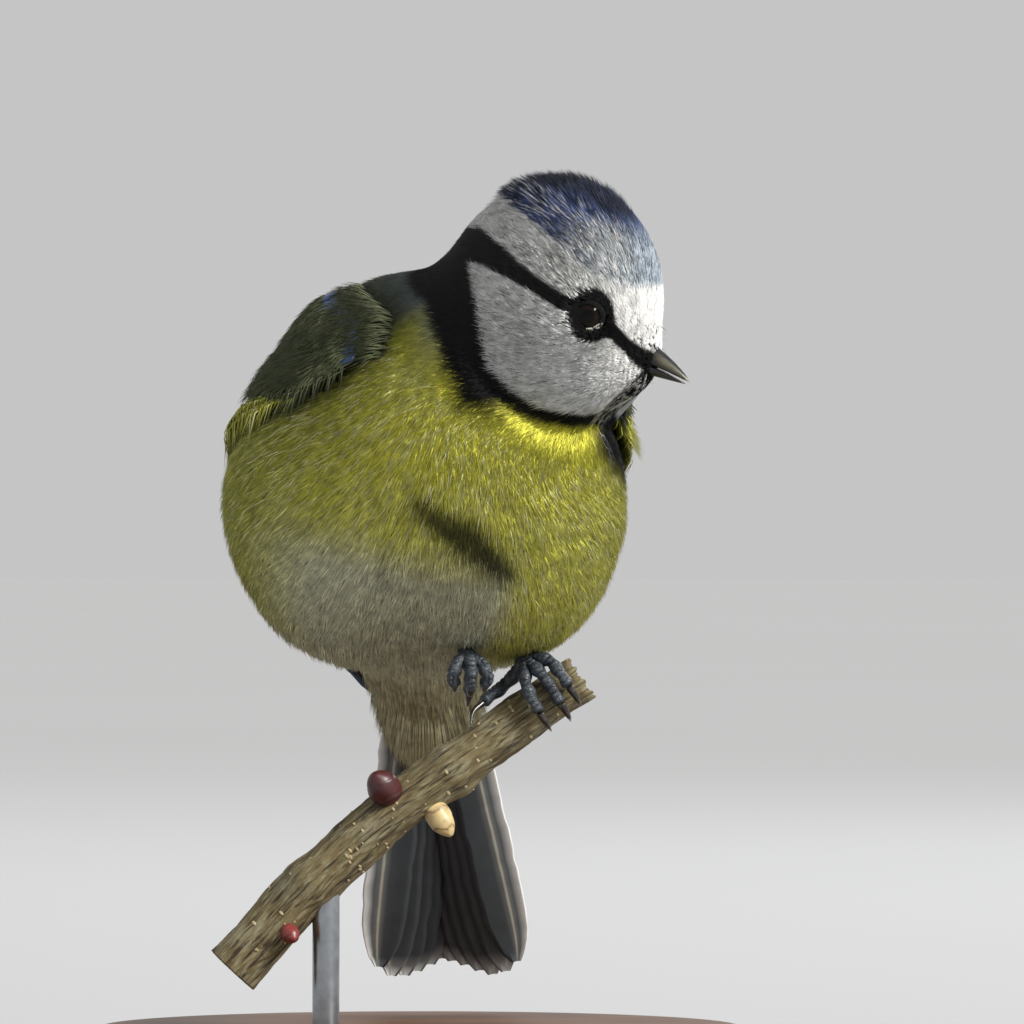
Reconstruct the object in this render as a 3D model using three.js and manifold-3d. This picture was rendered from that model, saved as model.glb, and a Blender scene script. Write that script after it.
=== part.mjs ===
// A blue tit at life size, perched on a cut twig that a rod holds over a round base.
// Millimetres, +Z up. The breast faces -Y and the head is turned to +X.
// The origin is the middle of the base's underside.
import * as THREE from "three";
import { mergeVertices } from "three/addons/utils/BufferGeometryUtils.js";
import Module from "manifold-3d";

const wasm = await Module();
wasm.setup();
const rad = THREE.MathUtils.degToRad;
const v3 = (x = 0, y = 0, z = 0) => new THREE.Vector3(x, y, z);

// Driving sizes of the bird
const GAP = 0.3; // kept between nodes that touch
const VANE_THICKNESS = 0.5;
const BODY_CENTRE = v3(1.6, 1, 66.8);
const BODY_RADII = v3(20.6, 19.4, 21.4); // breast to back, side to side, rump to neck
const BODY_UP = v3(0.17, -0.45, 0.88).normalize();
const BODY_TURN = 12; // degrees that the breast turns towards +X
const HEAD_CENTRE = v3(14.6, -7, 86);
const HEAD_RADII = v3(12.3, 12, 13.4);
const HEAD_YAW = 20; // degrees that the bill points to the front of sideways
const HEAD_PITCH = 21; // degrees that the bill points down
const EYE_RADIUS = 2.1;
const EYE_PROUD = 0.55; // height of the eyeball over the face
const EYE_PLACE = { forward: 7.1, side: 4, up: 1.3 };
const EYE_OPENING = 1.4;
const LID_THICKNESS = 0.3;
const BILL_BASE = { forward: 11.1, up: -1.9 };
const BILL_LENGTH = 7;
const BILL_ROOT = 2.6; // length of the bill sunk among the face feathers
const BILL_WIDTH = 3.6;
const UPPER_BILL_DEPTH = 2.5;
const LOWER_BILL_DEPTH = 1.5;
const WING_LENGTH = 62;
const WING_START = { front: 7.6, side: 13.4, up: 12.5 }; // the wrist, from the body's middle
const SHEET_LIFT = 0.56; // from the body to the wing's underside
const WING_TIP = { down: 17, back: 5, across: 4.6 }; // from the tail's root
const TAIL_ROOT = v3(0.3, 10.5, 53);
const TAIL_LENGTH = 49;
const TAIL_BACK = 28; // degrees from straight down
const TAIL_SIDE = 3; // degrees towards +X
const TAIL_PAIRS = 6;
const TAIL_SPREAD = 8; // degrees from the middle to the outermost feather
const RECTRIX_WIDTH = 5.4;
const TARSUS_RADIUS = 0.72;
const TOE_RADIUS = 0.74;
const CLAW_RADIUS = 0.45;

// Driving sizes of the twig and the stand
const TWIG_RADIUS = 2.85;
const TWIG_PATH = [
  [17.4, -5, 44.4],
  [15.8, -5, 43.3],
  [8.9, -5.2, 38.6],
  [3.3, -5.4, 34.4],
  [-2.2, -5.2, 30.6],
  [-7.8, -4.8, 25.8],
  [-13.3, -4.4, 20.6],
  [-17.8, -4, 15.6],
  [-20.8, -4, 12.4],
].map((p) => v3(...p));
const BASE_RADIUS = 38;
const BASE_HEIGHT = 6;
const ROD_RADIUS = 1.5;
const ROD_PLACE = v3(-10.4, -4.6, 0);

// Sizes of the mesh cells and of the smallest edges
const SLIVERS = [0.02, 0.01, 0.005, 0.002, 0.001, 0.0002]; // edges shorter than this are taken up
const BODY_CELL = 2.6;
const HEAD_CELL = 1.9;
const WING_CELL = 5;

const along = (origin, ...steps) =>
  steps.reduce((p, [axis, size]) => p.addScaledVector(axis, size), origin.clone());

// Frames of the body, the head and the tail
function bodyFrame() {
  const up = BODY_UP;
  const ahead = v3(0, -1, 0).addScaledVector(up, up.y).normalize();
  const front = ahead.applyAxisAngle(up, rad(BODY_TURN));
  return { up, front, left: v3().crossVectors(up, front) };
}
function headFrame() {
  const flat = Math.cos(rad(HEAD_PITCH));
  const yaw = rad(HEAD_YAW);
  const forward = v3(flat * Math.cos(yaw), -flat * Math.sin(yaw), -Math.sin(rad(HEAD_PITCH)));
  const up = v3(0, 0, 1).addScaledVector(forward, -forward.z).normalize();
  return { forward, up, right: v3().crossVectors(forward, up) };
}
function tailFrame() {
  const down = v3(Math.sin(rad(TAIL_SIDE)), Math.sin(rad(TAIL_BACK)), -Math.cos(rad(TAIL_BACK)));
  down.normalize();
  const across = v3(1, 0, 0).addScaledVector(down, -down.x).normalize();
  return { down, across, back: v3().crossVectors(across, down) };
}
const body = bodyFrame();
const head = headFrame();
const tail = tailFrame();
const headPoint = (forward, side, up) =>
  along(HEAD_CENTRE, [head.forward, forward], [head.right, side], [head.up, up]);
const headAxes = [head.forward, head.right, head.up];
const bodyAxes = [body.front, body.left, body.up];
const tailAxes = [tail.across, tail.back, tail.down];

// Solids for joining and cutting, and the meshes made from them
function solid(geometry) {
  const bare = geometry.clone();
  bare.deleteAttribute("normal");
  bare.deleteAttribute("uv");
  const merged = mergeVertices(bare, 1e-4);
  const wound = (order) =>
    new wasm.Manifold(
      new wasm.Mesh({
        numProp: 3,
        vertProperties: new Float32Array(merged.attributes.position.array),
        triVerts: new Uint32Array(order),
      }),
    );
  const made = wound(merged.index.array);
  return made.volume() > 0 ? made : wound([...merged.index.array].reverse());
}
const join = (pieces) => pieces.reduce((whole, piece) => whole.add(piece));
function largest(shape) {
  return shape.decompose().reduce((a, b) => (b.volume() > a.volume() ? b : a));
}
function geometryOf(shape) {
  const mesh = shape.getMesh();
  const places = new Float32Array(mesh.numVert * 3);
  for (let i = 0; i < mesh.numVert; i++)
    for (let k = 0; k < 3; k++) places[i * 3 + k] = mesh.vertProperties[i * mesh.numProp + k];
  const made = new THREE.BufferGeometry();
  made.setAttribute("position", new THREE.BufferAttribute(places, 3));
  made.setIndex(new THREE.BufferAttribute(new Uint32Array(mesh.triVerts), 1));
  return made;
}
// Whether each edge joins just two faces once places are rounded to a ten-thousandth
function isClosed(geometry) {
  const { position } = geometry.attributes;
  const order = geometry.index.array;
  const at = (i) => [0, 1, 2].map((k) => Math.round(position.getComponent(order[i], k) * 1e4)).join();
  const uses = new Map();
  for (let i = 0; i < order.length; i += 3) {
    const [a, b, c] = [at(i), at(i + 1), at(i + 2)];
    if (a === b || b === c || c === a) continue;
    for (const edge of [[a, b], [b, c], [c, a]]) {
      const key = edge.sort().join(" ");
      uses.set(key, (uses.get(key) ?? 0) + 1);
    }
  }
  return [...uses.values()].every((count) => count === 2);
}
// The largest body of a shape with its slivers taken up, as coarsely as leaves it closed
function tidied(shape) {
  for (const sliver of SLIVERS) {
    const made = geometryOf(largest(shape.simplify(sliver)));
    if (isClosed(made)) return made;
  }
  throw new Error("no sliver size leaves the shape closed");
}
function indexed(points, faces) {
  const made = new THREE.BufferGeometry().setFromPoints(points);
  made.setIndex(faces);
  return made;
}
// All that lies beyond a plane, as far as the model reaches
function beyond(centre, normal) {
  const turn = new THREE.Quaternion().setFromUnitVectors(v3(0, 0, 1), normal);
  const box = new THREE.BoxGeometry(160, 160, 160).translate(0, 0, 80).applyQuaternion(turn);
  return solid(box.translate(centre.x, centre.y, centre.z));
}
const ball = (centre, radius, width = 14, height = 10) =>
  new THREE.SphereGeometry(radius, width, height).translate(centre.x, centre.y, centre.z);

// Soft shapes: an egg's field is below 0 inside it, and a soft union rounds the seams
function egg(centre, radii, axes = [v3(1, 0, 0), v3(0, 1, 0), v3(0, 0, 1)]) {
  const d = v3();
  return (p) => {
    d.copy(p).sub(centre);
    const x = d.dot(axes[0]) / radii.x;
    const y = d.dot(axes[1]) / radii.y;
    const z = d.dot(axes[2]) / radii.z;
    const k = Math.hypot(x, y, z);
    const g = Math.hypot(x / radii.x, y / radii.y, z / radii.z);
    return g > 1e-6 ? (k * (k - 1)) / g : -Math.min(radii.x, radii.y, radii.z);
  };
}
function softUnion(parts, blend) {
  return (p) => {
    let whole = 1e3;
    for (const part of parts) {
      const d = part(p);
      const h = Math.max(blend - Math.abs(whole - d), 0) / blend;
      whole = Math.min(whole, d) - (h * h * blend) / 4;
    }
    return whole;
  };
}

// A closed skin round the places where a field is below 0, with one point in each crossed cell
function skinOf(field, low, high, cell) {
  const count = ["x", "y", "z"].map((k) => Math.ceil((high[k] - low[k]) / cell) + 1);
  const at = (i, j, k) => i + count[0] * (j + count[1] * k);
  const place = (i, j, k) => v3(low.x + i * cell, low.y + j * cell, low.z + k * cell);
  const each = (from, less, run) => {
    for (let k = from; k < count[2] - less; k++)
      for (let j = from; j < count[1] - less; j++)
        for (let i = from; i < count[0] - less; i++) run(i, j, k);
  };
  const value = new Float32Array(count[0] * count[1] * count[2]);
  each(0, 0, (i, j, k) => {
    value[at(i, j, k)] = field(place(i, j, k));
  });
  const corners = [0, 1, 2, 3, 4, 5, 6, 7].map((c) => [c & 1, (c >> 1) & 1, (c >> 2) & 1]);
  const edges = [];
  for (let a = 0; a < 8; a++)
    for (let b = a + 1; b < 8; b++) if ([1, 2, 4].includes(a ^ b)) edges.push([a, b]);
  const points = [];
  const pointOf = new Map();
  each(0, 1, (i, j, k) => {
    const here = corners.map(([a, b, c]) => value[at(i + a, j + b, k + c)]);
    const crossed = edges.filter(([a, b]) => here[a] < 0 !== here[b] < 0);
    if (!crossed.length) return;
    const middle = v3();
    for (const [a, b] of crossed) {
      const from = place(i + corners[a][0], j + corners[a][1], k + corners[a][2]);
      const to = place(i + corners[b][0], j + corners[b][1], k + corners[b][2]);
      middle.add(from.lerp(to, here[a] / (here[a] - here[b])));
    }
    pointOf.set(at(i, j, k), points.length);
    points.push(settle(field, middle.divideScalar(crossed.length), cell));
  });
  const faces = [];
  const steps = [[1, 0, 0], [0, 1, 0], [0, 0, 1]];
  each(1, 1, (i, j, k) => {
    const inside = value[at(i, j, k)] < 0;
    steps.forEach((step, axis) => {
      if (inside === value[at(i + step[0], j + step[1], k + step[2])] < 0) return;
      const p = steps[(axis + 1) % 3];
      const q = steps[(axis + 2) % 3];
      const [a, b, c, d] = [[0, 0], [1, 0], [1, 1], [0, 1]].map(([m, n]) =>
        pointOf.get(at(i - m * p[0] - n * q[0], j - m * p[1] - n * q[1], k - m * p[2] - n * q[2])),
      );
      if (inside) faces.push(a, b, c, a, c, d);
      else faces.push(c, b, a, d, c, a);
    });
  });
  return indexed(points, faces);
}
// Moves a point along the field's slope until it lies on the surface
function settle(field, start, cell) {
  const p = start.clone();
  const h = 0.05;
  for (let turn = 0; turn < 3; turn++) {
    const here = field(p);
    const slope = v3(
      field(v3(p.x + h, p.y, p.z)) - here,
      field(v3(p.x, p.y + h, p.z)) - here,
      field(v3(p.x, p.y, p.z + h)) - here,
    ).divideScalar(h);
    p.add(slope.multiplyScalar(-here / slope.lengthSq()).clampLength(0, 0.3 * cell));
  }
  return p.distanceTo(start) < 0.6 * cell ? p : start;
}

// A round limb of changing radius along a smooth path, closed at both ends
function limb(path, radiusAt, { sides = 8, steps = 12, round = 0.5 } = {}) {
  const curve = new THREE.CatmullRomCurve3(path, false, "centripetal");
  const frames = curve.computeFrenetFrames(steps, false);
  const points = [along(path[0], [frames.tangents[0], -radiusAt(0, 0) * round])];
  for (let i = 0; i <= steps; i++)
    for (let s = 0; s < sides; s++) {
      const turn = (2 * Math.PI * s) / sides;
      const r = radiusAt(i / steps, turn);
      const across = [frames.normals[i], r * Math.cos(turn)];
      points.push(along(curve.getPointAt(i / steps), across, [frames.binormals[i], r * Math.sin(turn)]));
    }
  points.push(along(path.at(-1), [frames.tangents[steps], radiusAt(1, 0) * round]));
  const faces = [];
  const ring = (i, s) => 1 + i * sides + (s % sides);
  for (let s = 0; s < sides; s++) {
    faces.push(0, ring(0, s + 1), ring(0, s));
    faces.push(points.length - 1, ring(steps, s), ring(steps, s + 1));
    for (let i = 0; i < steps; i++) {
      faces.push(ring(i, s), ring(i, s + 1), ring(i + 1, s + 1));
      faces.push(ring(i, s), ring(i + 1, s + 1), ring(i + 1, s));
    }
  }
  return indexed(points, faces);
}

// Fields of the trunk, the neck and the head
const trunkEggs = [
  egg(BODY_CENTRE, BODY_RADII, bodyAxes),
  egg(v3(9.5, -3.5, 57.6), v3(10.8, 12, 10.6)),
  egg(v3(-7, -2, 57.6), v3(11.5, 12, 10.5)),
  egg(v3(-9.6, -4.5, 64), v3(12, 12, 13.5)),
  egg(v3(11.5, -3, 65), v3(11.2, 12, 13)),
  egg(v3(-2, 1, 79.6), v3(9.4, 9.6, 10)),
  egg(along(TAIL_ROOT, [tail.back, -1.5]), v3(8.5, 8.5, 10), tailAxes),
  egg(along(TAIL_ROOT, [tail.down, 8.5], [tail.back, -1.2]), v3(5.9, 3.6, 12), tailAxes),
];
const neckEggs = [egg(v3(7.4, -4, 80.8), v3(12.7, 12, 10.8))];
const headEggs = [
  egg(HEAD_CENTRE, HEAD_RADII),
  egg(headPoint(0.8, 0, 4.4), v3(8.4, 8.6, 8.4), headAxes),
  egg(headPoint(4, 4.8, -4.6), v3(7, 6.4, 7.2), headAxes),
  egg(headPoint(4, -4.8, -4.6), v3(7, 6.4, 7.2), headAxes),
  egg(headPoint(8.6, 0, -2.4), v3(5, 3.4, 4.6), headAxes),
];
const trunkField = softUnion(trunkEggs, 3.2);
const wholeField = softUnion([...trunkEggs, ...neckEggs, ...headEggs], 3.2);

// Cuts between head, neck, torso and tail
const NECK_AXIS = v3().subVectors(HEAD_CENTRE, v3(5.2, -2.4, 76)).normalize();
const NECK_BOTTOM = v3(7.4, -4, 77.6);
const NECK_TOP = along(HEAD_CENTRE, [NECK_AXIS, -4.6]);
const TAIL_CUT = along(TAIL_ROOT, [tail.down, 6]);
const low = v3(-28, -30, 22);
const high = v3(38, 34, 106);
const bodySkin = solid(skinOf(wholeField, low, high, BODY_CELL));
const headSkin = solid(skinOf(wholeField, low, high, HEAD_CELL));
const grownSkin = solid(skinOf((p) => wholeField(p) - GAP, low, high, HEAD_CELL));

// Bill: each half tapers to the tip under a rounded ridge, and its cutting edge is flat
function billHalf(sign, depth, length, grow = 0) {
  const sides = 8;
  const steps = 7;
  const root = headPoint(BILL_BASE.forward - BILL_ROOT - grow, 0, BILL_BASE.up);
  const total = length + BILL_ROOT + 2 * grow;
  const points = [];
  for (let i = 0; i <= steps; i++) {
    const t = i / steps;
    const taper = 0.04 + 0.96 * Math.sqrt(1 - t ** 1.9);
    const width = (BILL_WIDTH / 2) * taper + grow;
    const rise = depth * (sign > 0 ? taper : 0.06 + 0.94 * (1 - t ** 1.6)) + 2 * grow;
    for (let s = 0; s < sides; s++) {
      const turn = (Math.PI * s) / (sides - 1);
      const level = sign * (rise * Math.sin(turn) ** 0.8 + GAP / 2 - grow) - 0.55 * t * t;
      const side = [head.right, width * Math.cos(turn)];
      points.push(along(root, [head.forward, t * total], side, [head.up, level]));
    }
  }
  const faces = [];
  for (let i = 0; i < steps; i++)
    for (let s = 0; s < sides; s++) {
      const [a, b] = [i * sides + s, i * sides + ((s + 1) % sides)];
      faces.push(a, a + sides, b + sides, a, b + sides, b);
    }
  const end = steps * sides;
  for (let s = 1; s < sides - 1; s++) faces.push(0, s, s + 1, end, end + s + 1, end + s);
  return indexed(points, faces);
}
function upperBill() {
  let made = solid(billHalf(1, UPPER_BILL_DEPTH, BILL_LENGTH));
  for (const side of [1.62, -1.62]) {
    const nostril = headPoint(BILL_BASE.forward + 0.9, side, BILL_BASE.up + 1.25);
    made = made.subtract(solid(ball(nostril, 0.38, 8, 6)));
  }
  return made;
}
const lowerBill = () => solid(billHalf(-1, LOWER_BILL_DEPTH, BILL_LENGTH - 0.4));

// Eyes: set so that the ball stands a little proud of the face, under a round lid with an opening
function eyeCentre(side) {
  const p = headPoint(EYE_PLACE.forward, EYE_PLACE.side * side, EYE_PLACE.up);
  while (wholeField(p) < EYE_PROUD - EYE_RADIUS) p.addScaledVector(head.right, 0.02 * side);
  return p;
}
const gaze = (side) =>
  v3().addScaledVector(head.right, side).addScaledVector(head.forward, 0.3).normalize();
function cutEye(shape, side) {
  const centre = eyeCentre(side);
  const turn = new THREE.Quaternion().setFromUnitVectors(v3(0, 1, 0), gaze(side));
  const opening = new THREE.CylinderGeometry(EYE_OPENING + 0.25, EYE_OPENING - 0.1, 4, 16)
    .translate(0, 3.4, 0)
    .applyQuaternion(turn)
    .translate(centre.x, centre.y, centre.z);
  return shape
    .add(solid(ball(centre, EYE_RADIUS + GAP + LID_THICKNESS)))
    .subtract(solid(ball(centre, EYE_RADIUS + GAP)))
    .subtract(solid(opening));
}
function headSolid() {
  let made = headSkin.intersect(beyond(NECK_TOP, NECK_AXIS));
  for (const side of [1, -1]) made = cutEye(made, side);
  made = made.subtract(solid(billHalf(1, UPPER_BILL_DEPTH, BILL_LENGTH, GAP)));
  return made.subtract(solid(billHalf(-1, LOWER_BILL_DEPTH, BILL_LENGTH - 0.4, GAP)));
}
const neckSolid = () =>
  headSkin
    .intersect(beyond(NECK_BOTTOM, NECK_AXIS))
    .subtract(beyond(along(NECK_TOP, [NECK_AXIS, -GAP]), NECK_AXIS));
const torsoSolid = () =>
  bodySkin
    .subtract(beyond(along(NECK_BOTTOM, [NECK_AXIS, -GAP]), NECK_AXIS))
    .subtract(beyond(along(TAIL_CUT, [tail.down, -GAP]), tail.down));

// One flat vane from its root, in the plane of x (along) and y (across), tilted about its shaft
function flatVane([x, y], [toX, toY], half, level, tilt = 0) {
  const length = Math.hypot(toX - x, toY - y);
  const outline = [
    [0, 0.5],
    [0.35, 1],
    [0.8, 1],
    [0.94, 0.72],
    [1, 0.24],
  ].map(([t, w]) => [t * length, w * half]);
  const mirrored = outline.map(([t, w]) => [t, -w]).reverse();
  const shape = new THREE.Shape([...outline, ...mirrored].map((p) => new THREE.Vector2(...p)));
  const made = new THREE.ExtrudeGeometry(shape, { depth: VANE_THICKNESS, bevelEnabled: false });
  made.rotateX(-tilt).rotateZ(Math.atan2(toY - y, toX - x));
  return solid(made.translate(x, y, level));
}
// Seeded draws between 0 and 1, so that the model is the same each time
function drawer(seed) {
  let state = seed;
  return () => {
    state = (state * 1664525 + 1013904223) % 4294967296;
    return state / 4294967296;
  };
}
const row = (count, make) => Array.from({ length: count }, (_, i) => make(i));

// Tail: the middle pair on the back, each pair outside it one tier nearer the belly
function tailSolid() {
  const place = new THREE.Matrix4().makeBasis(tail.down, tail.across, tail.back);
  place.setPosition(TAIL_ROOT);
  const feathers = [];
  const draw = drawer(3);
  for (const side of [1, -1])
    for (let i = 0; i < TAIL_PAIRS; i++) {
      const angle = rad(side * TAIL_SPREAD * ((i + 0.4) / (TAIL_PAIRS - 0.6)));
      const length = TAIL_LENGTH - [1.5, 0.9, 0.3, 0, 0.3, 1.4][i] - 0.4 * draw();
      const root = [3 + draw(), side * i * 0.25 + 0.2 * draw()];
      const tip = [length * Math.cos(angle), root[1] + length * Math.sin(angle)];
      const level = 1.3 - 0.4 * i - (side > 0 ? 0.2 : 0);
      feathers.push(flatVane(root, tip, RECTRIX_WIDTH / 2, level));
    }
  const fan = join(feathers).transform(place.elements);
  const coverts = headSkin.intersect(beyond(TAIL_CUT, tail.down));
  return coverts.add(fan.intersect(beyond(TAIL_CUT, tail.down)));
}

// Wings: a sheet lies on the flank from the wrist, leaves the body and runs straight to the tip
function wingSheet(side) {
  const wrist = along(
    BODY_CENTRE,
    [body.front, WING_START.front],
    [body.left, side * WING_START.side],
    [body.up, WING_START.up],
  );
  const tip = along(
    TAIL_ROOT,
    [tail.down, WING_TIP.down],
    [tail.back, WING_TIP.back],
    [tail.across, side * WING_TIP.across],
  );
  const run = v3().subVectors(tip, wrist).normalize();
  const out = along(v3(), [body.front, -0.63], [body.left, 0.77 * side], [body.up, -0.12]);
  out.addScaledVector(run, -out.dot(run)).normalize();
  const across = v3().crossVectors(run, out).multiplyScalar(-side);
  const start = v3().subVectors(wrist, BODY_CENTRE);
  const from = Math.atan2(start.dot(run), start.dot(out));
  const tipSide = v3().subVectors(tip, BODY_CENTRE).dot(across);
  const lines = [];
  for (let c = -13.5; c <= 13.5; c += 1.5) {
    const axis = along(BODY_CENTRE, [across, c]);
    const target = along(tip, [across, c - tipSide]);
    const reach = row(36, (k) => {
      const angle = from + rad(k * 4.5 - 5);
      const ray = along(v3(), [out, Math.cos(angle)], [run, Math.sin(angle)]);
      let r = 36;
      for (let i = 0; i < 60 && r > 6; i++) {
        const over = trunkField(along(axis, [ray, r])) - SHEET_LIFT;
        r -= Math.max(0, over) * 0.8;
      }
      return along(axis, [ray, r]);
    });
    const steepness = reach.map((p) => {
      const d = v3().subVectors(p, target);
      return Math.atan2(d.dot(out), Math.max(0.01, -d.dot(run)));
    });
    const leave = steepness.indexOf(Math.max(...steepness));
    lines.push(new THREE.CatmullRomCurve3([...reach.slice(0, leave + 1), target], false, "centripetal"));
  }
  return { lines, across, out };
}
function sheetPoint(sheet, s, c, h) {
  const place = THREE.MathUtils.clamp((c + 13.5) / 1.5, 0, sheet.lines.length - 1.001);
  const k = Math.floor(place);
  const t = THREE.MathUtils.clamp(s / WING_LENGTH, 0, 1);
  const on = (t1, p) => {
    const q = Math.floor(p);
    return sheet.lines[q].getPointAt(t1).lerp(sheet.lines[q + 1].getPointAt(t1), p - q);
  };
  const here = on(t, place);
  const ahead = v3().subVectors(on(Math.min(1, t + 0.02), place), on(Math.max(0, t - 0.02), place));
  const wide = v3().subVectors(sheet.lines[k + 1].getPointAt(t), sheet.lines[k].getPointAt(t));
  const normal = v3().crossVectors(ahead, wide).normalize();
  if (normal.dot(here.clone().sub(BODY_CENTRE)) < 0) normal.negate();
  const past = s - t * WING_LENGTH;
  return along(here, [normal, h], [ahead.normalize(), past]);
}
// Each tier of vanes lies on the one before it. A tier holds how many vanes it has, the roots and tips of
// its first and last, and three sizes: the bow of the tips between these ends, the half width, the level.
const WING_PLATE = [
  [0, -6.4], [2.5, -8.2], [12, -9.6], [24, -9], [34, -6.5], [38, -2],
  [36, 4], [30, 7.2], [22, 8.4], [12, 6.4], [4, 1.6], [0.8, -2.6],
];
const WING_TIERS = [
  { count: 6, root: [[16, -7.4], [17, -3.6]], tip: [[56, -8.2], [53, -3.4]], sizes: [7.4, 1.9, 0.35] },
  { count: 4, root: [[12, -4.4], [13, 3.2]], tip: [[47, -3.2], [41, 2.6]], sizes: [0.8, 2.3, 0.55] },
  { count: 3, root: [[11, 3], [12, 5.6]], tip: [[38, 4.2], [30, 7.4]], sizes: [0.6, 2.3, 0.7] },
  { count: 1, root: [[5, -7.6]], tip: [[18, -9.1]], sizes: [0, 1.3, 0.5] },
  { count: 6, root: [[7, -7], [9, 5]], tip: [[20, -8], [22, 7.2]], sizes: [1.6, 2.1, 0.75] },
  { count: 5, root: [[3.5, -5.8], [6.5, 2.6]], tip: [[12.4, -6.8], [14, 4.6]], sizes: [1.2, 2.1, 0.9] },
  { count: 3, root: [[0.8, -4.6], [3.4, -0.4]], tip: [[7.2, -5.2], [9, 2]], sizes: [0.8, 2, 1.05] },
];
const WING_TILT = 0.16;
function wingTier({ count, root, tip, sizes: [bow, half, level] }, draw) {
  const mix = (ends, t) => ends[0].map((x, k) => x + ((ends.at(-1)[k] ?? x) - x) * t);
  return row(count, (i) => {
    const t = count > 1 ? i / (count - 1) : 0;
    const [toX, toY] = mix(tip, t);
    const out = toX + bow * Math.sin(Math.PI * t) + 0.5 * (draw() - 0.5);
    return flatVane(mix(root, t), [out, toY], half, level + 0.02 * i, -WING_TILT);
  });
}
function wingSolid(side) {
  const sheet = wingSheet(side);
  const draw = drawer(7);
  const outline = new THREE.Shape(WING_PLATE.map((p) => new THREE.Vector2(...p)));
  const plate = solid(new THREE.ExtrudeGeometry(outline, { depth: 0.75, bevelEnabled: false }));
  const flat = join([plate, ...WING_TIERS.flatMap((tier) => wingTier(tier, draw))]);
  const turned = side > 0 ? flat : flat.mirror([0, 1, 0]);
  const bent = turned.simplify(0.05).refineToLength(WING_CELL).warp((p) => {
    sheetPoint(sheet, p[0], side * p[1], p[2]).toArray(p);
  });
  return bent.subtract(grownSkin.intersect(beyond(NECK_BOTTOM, NECK_AXIS)));
}

// Twig, with a rough bark and a broken end, and its buds
function twigRadius(t, turn) {
  const knots = 0.35 * Math.exp(-(((t - 0.34) / 0.03) ** 2)) + 0.3 * Math.exp(-(((t - 0.74) / 0.03) ** 2));
  const rough = 0.1 * Math.sin(3 * turn + 17 * t) + 0.08 * Math.sin(2 * turn - 29 * t);
  return TWIG_RADIUS * (0.9 + 0.18 * t) + knots + rough;
}
const twig = (grow = 0) =>
  solid(limb(TWIG_PATH, (t, turn) => twigRadius(t, turn) + grow, { sides: 12, steps: 22, round: 0.25 }));
const twigCurve = new THREE.CatmullRomCurve3(TWIG_PATH, false, "centripetal");
// A place beside the twig: distance from its broken end, degrees from its top to the front, distance out
function beside(distance, degrees, out) {
  const t = Math.max(0, distance + 2) / twigCurve.getLength();
  const axis = twigCurve.getTangentAt(t);
  const top = v3(0, 0, 1).addScaledVector(axis, -axis.z).normalize();
  const front = v3(0, -1, 0).addScaledVector(axis, axis.y).normalize();
  const turn = rad(degrees);
  return along(twigCurve.getPointAt(t), [top, out * Math.cos(turn)], [front, out * Math.sin(turn)]);
}
const BUDS = [
  { name: "bud_red", distance: 22, degrees: 42, size: 1.8, long: 2.5, colour: 0x6e2a2c },
  { name: "bud_pale", distance: 19, degrees: 165, size: 1.4, long: 2.6, colour: 0xc8b98a },
  { name: "bud_small", distance: 40.5, degrees: 125, size: 1, long: 1.5, colour: 0x74352f },
];
function bud({ distance, degrees, size, long }) {
  const axis = v3().subVectors(beside(distance, degrees, 6), beside(distance, degrees, 3)).normalize();
  const turn = new THREE.Quaternion().setFromUnitVectors(v3(0, 1, 0), axis);
  const centre = beside(distance, degrees, TWIG_RADIUS + 0.5);
  const made = ball(v3(), 1, 10, 8).scale(size, long, size).applyQuaternion(turn);
  return solid(made.translate(centre.x, centre.y, centre.z)).subtract(twig(GAP));
}

// Legs and claws: paths beside the twig, for the foot that grips it
const ANKLE = beside(1.3, 5, 5.2);
const TARSUS_PATH = [v3(4.6, 2.2, 53.4), v3(8.4, -2.2, 49.6), ANKLE];
const LEFT_TOES = {
  middle: [[1.3, 12, 5.1], [0.9, 45, 4.4], [0.8, 75, 4], [0.9, 98, 3.95]],
  inner: [[1.6, 12, 5.1], [2.9, 45, 4.4], [3.3, 72, 4], [3.4, 92, 3.95]],
  outer: [[1, 8, 5.1], [-0.7, 35, 4.5], [-1, 62, 4], [-1, 84, 3.95]],
  hind: [[1.8, 4, 5], [4.2, -12, 4.3], [6.2, -6, 4], [7.6, 8, 4]],
};
const LEFT_CLAWS = {
  middle: [[0.95, 106, 3.95], [1, 128, 4.1], [1.1, 150, 3.7]],
  inner: [[3.45, 100, 3.95], [3.5, 121, 4.1], [3.5, 142, 3.7]],
  outer: [[-1, 92, 3.95], [-0.9, 112, 4.1], [-0.8, 132, 3.7]],
  hind: [[8.1, 13, 4], [9.4, 27, 4.15], [10.4, 44, 3.8]],
};
const places = (list) => list.map((p) => beside(...p));
const knuckles = (t) => 1 + 0.14 * Math.cos(6 * Math.PI * t);
const toe = (path, grow = 0) =>
  solid(limb(path, (t) => TOE_RADIUS * (1.05 - 0.2 * t) * knuckles(t) + grow, { sides: 6, steps: 6 }));
const claw = (path, grow = 0) =>
  solid(limb(path, (t) => CLAW_RADIUS * (1.1 - 0.92 * t) + grow, { sides: 6, steps: 5, round: 0.4 }));
const tarsus = (path, grow = 0) =>
  solid(limb(path, (t) => TARSUS_RADIUS * (1.15 + 0.3 * (2 * t - 1) ** 2) + grow, { steps: 8 }));

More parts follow.
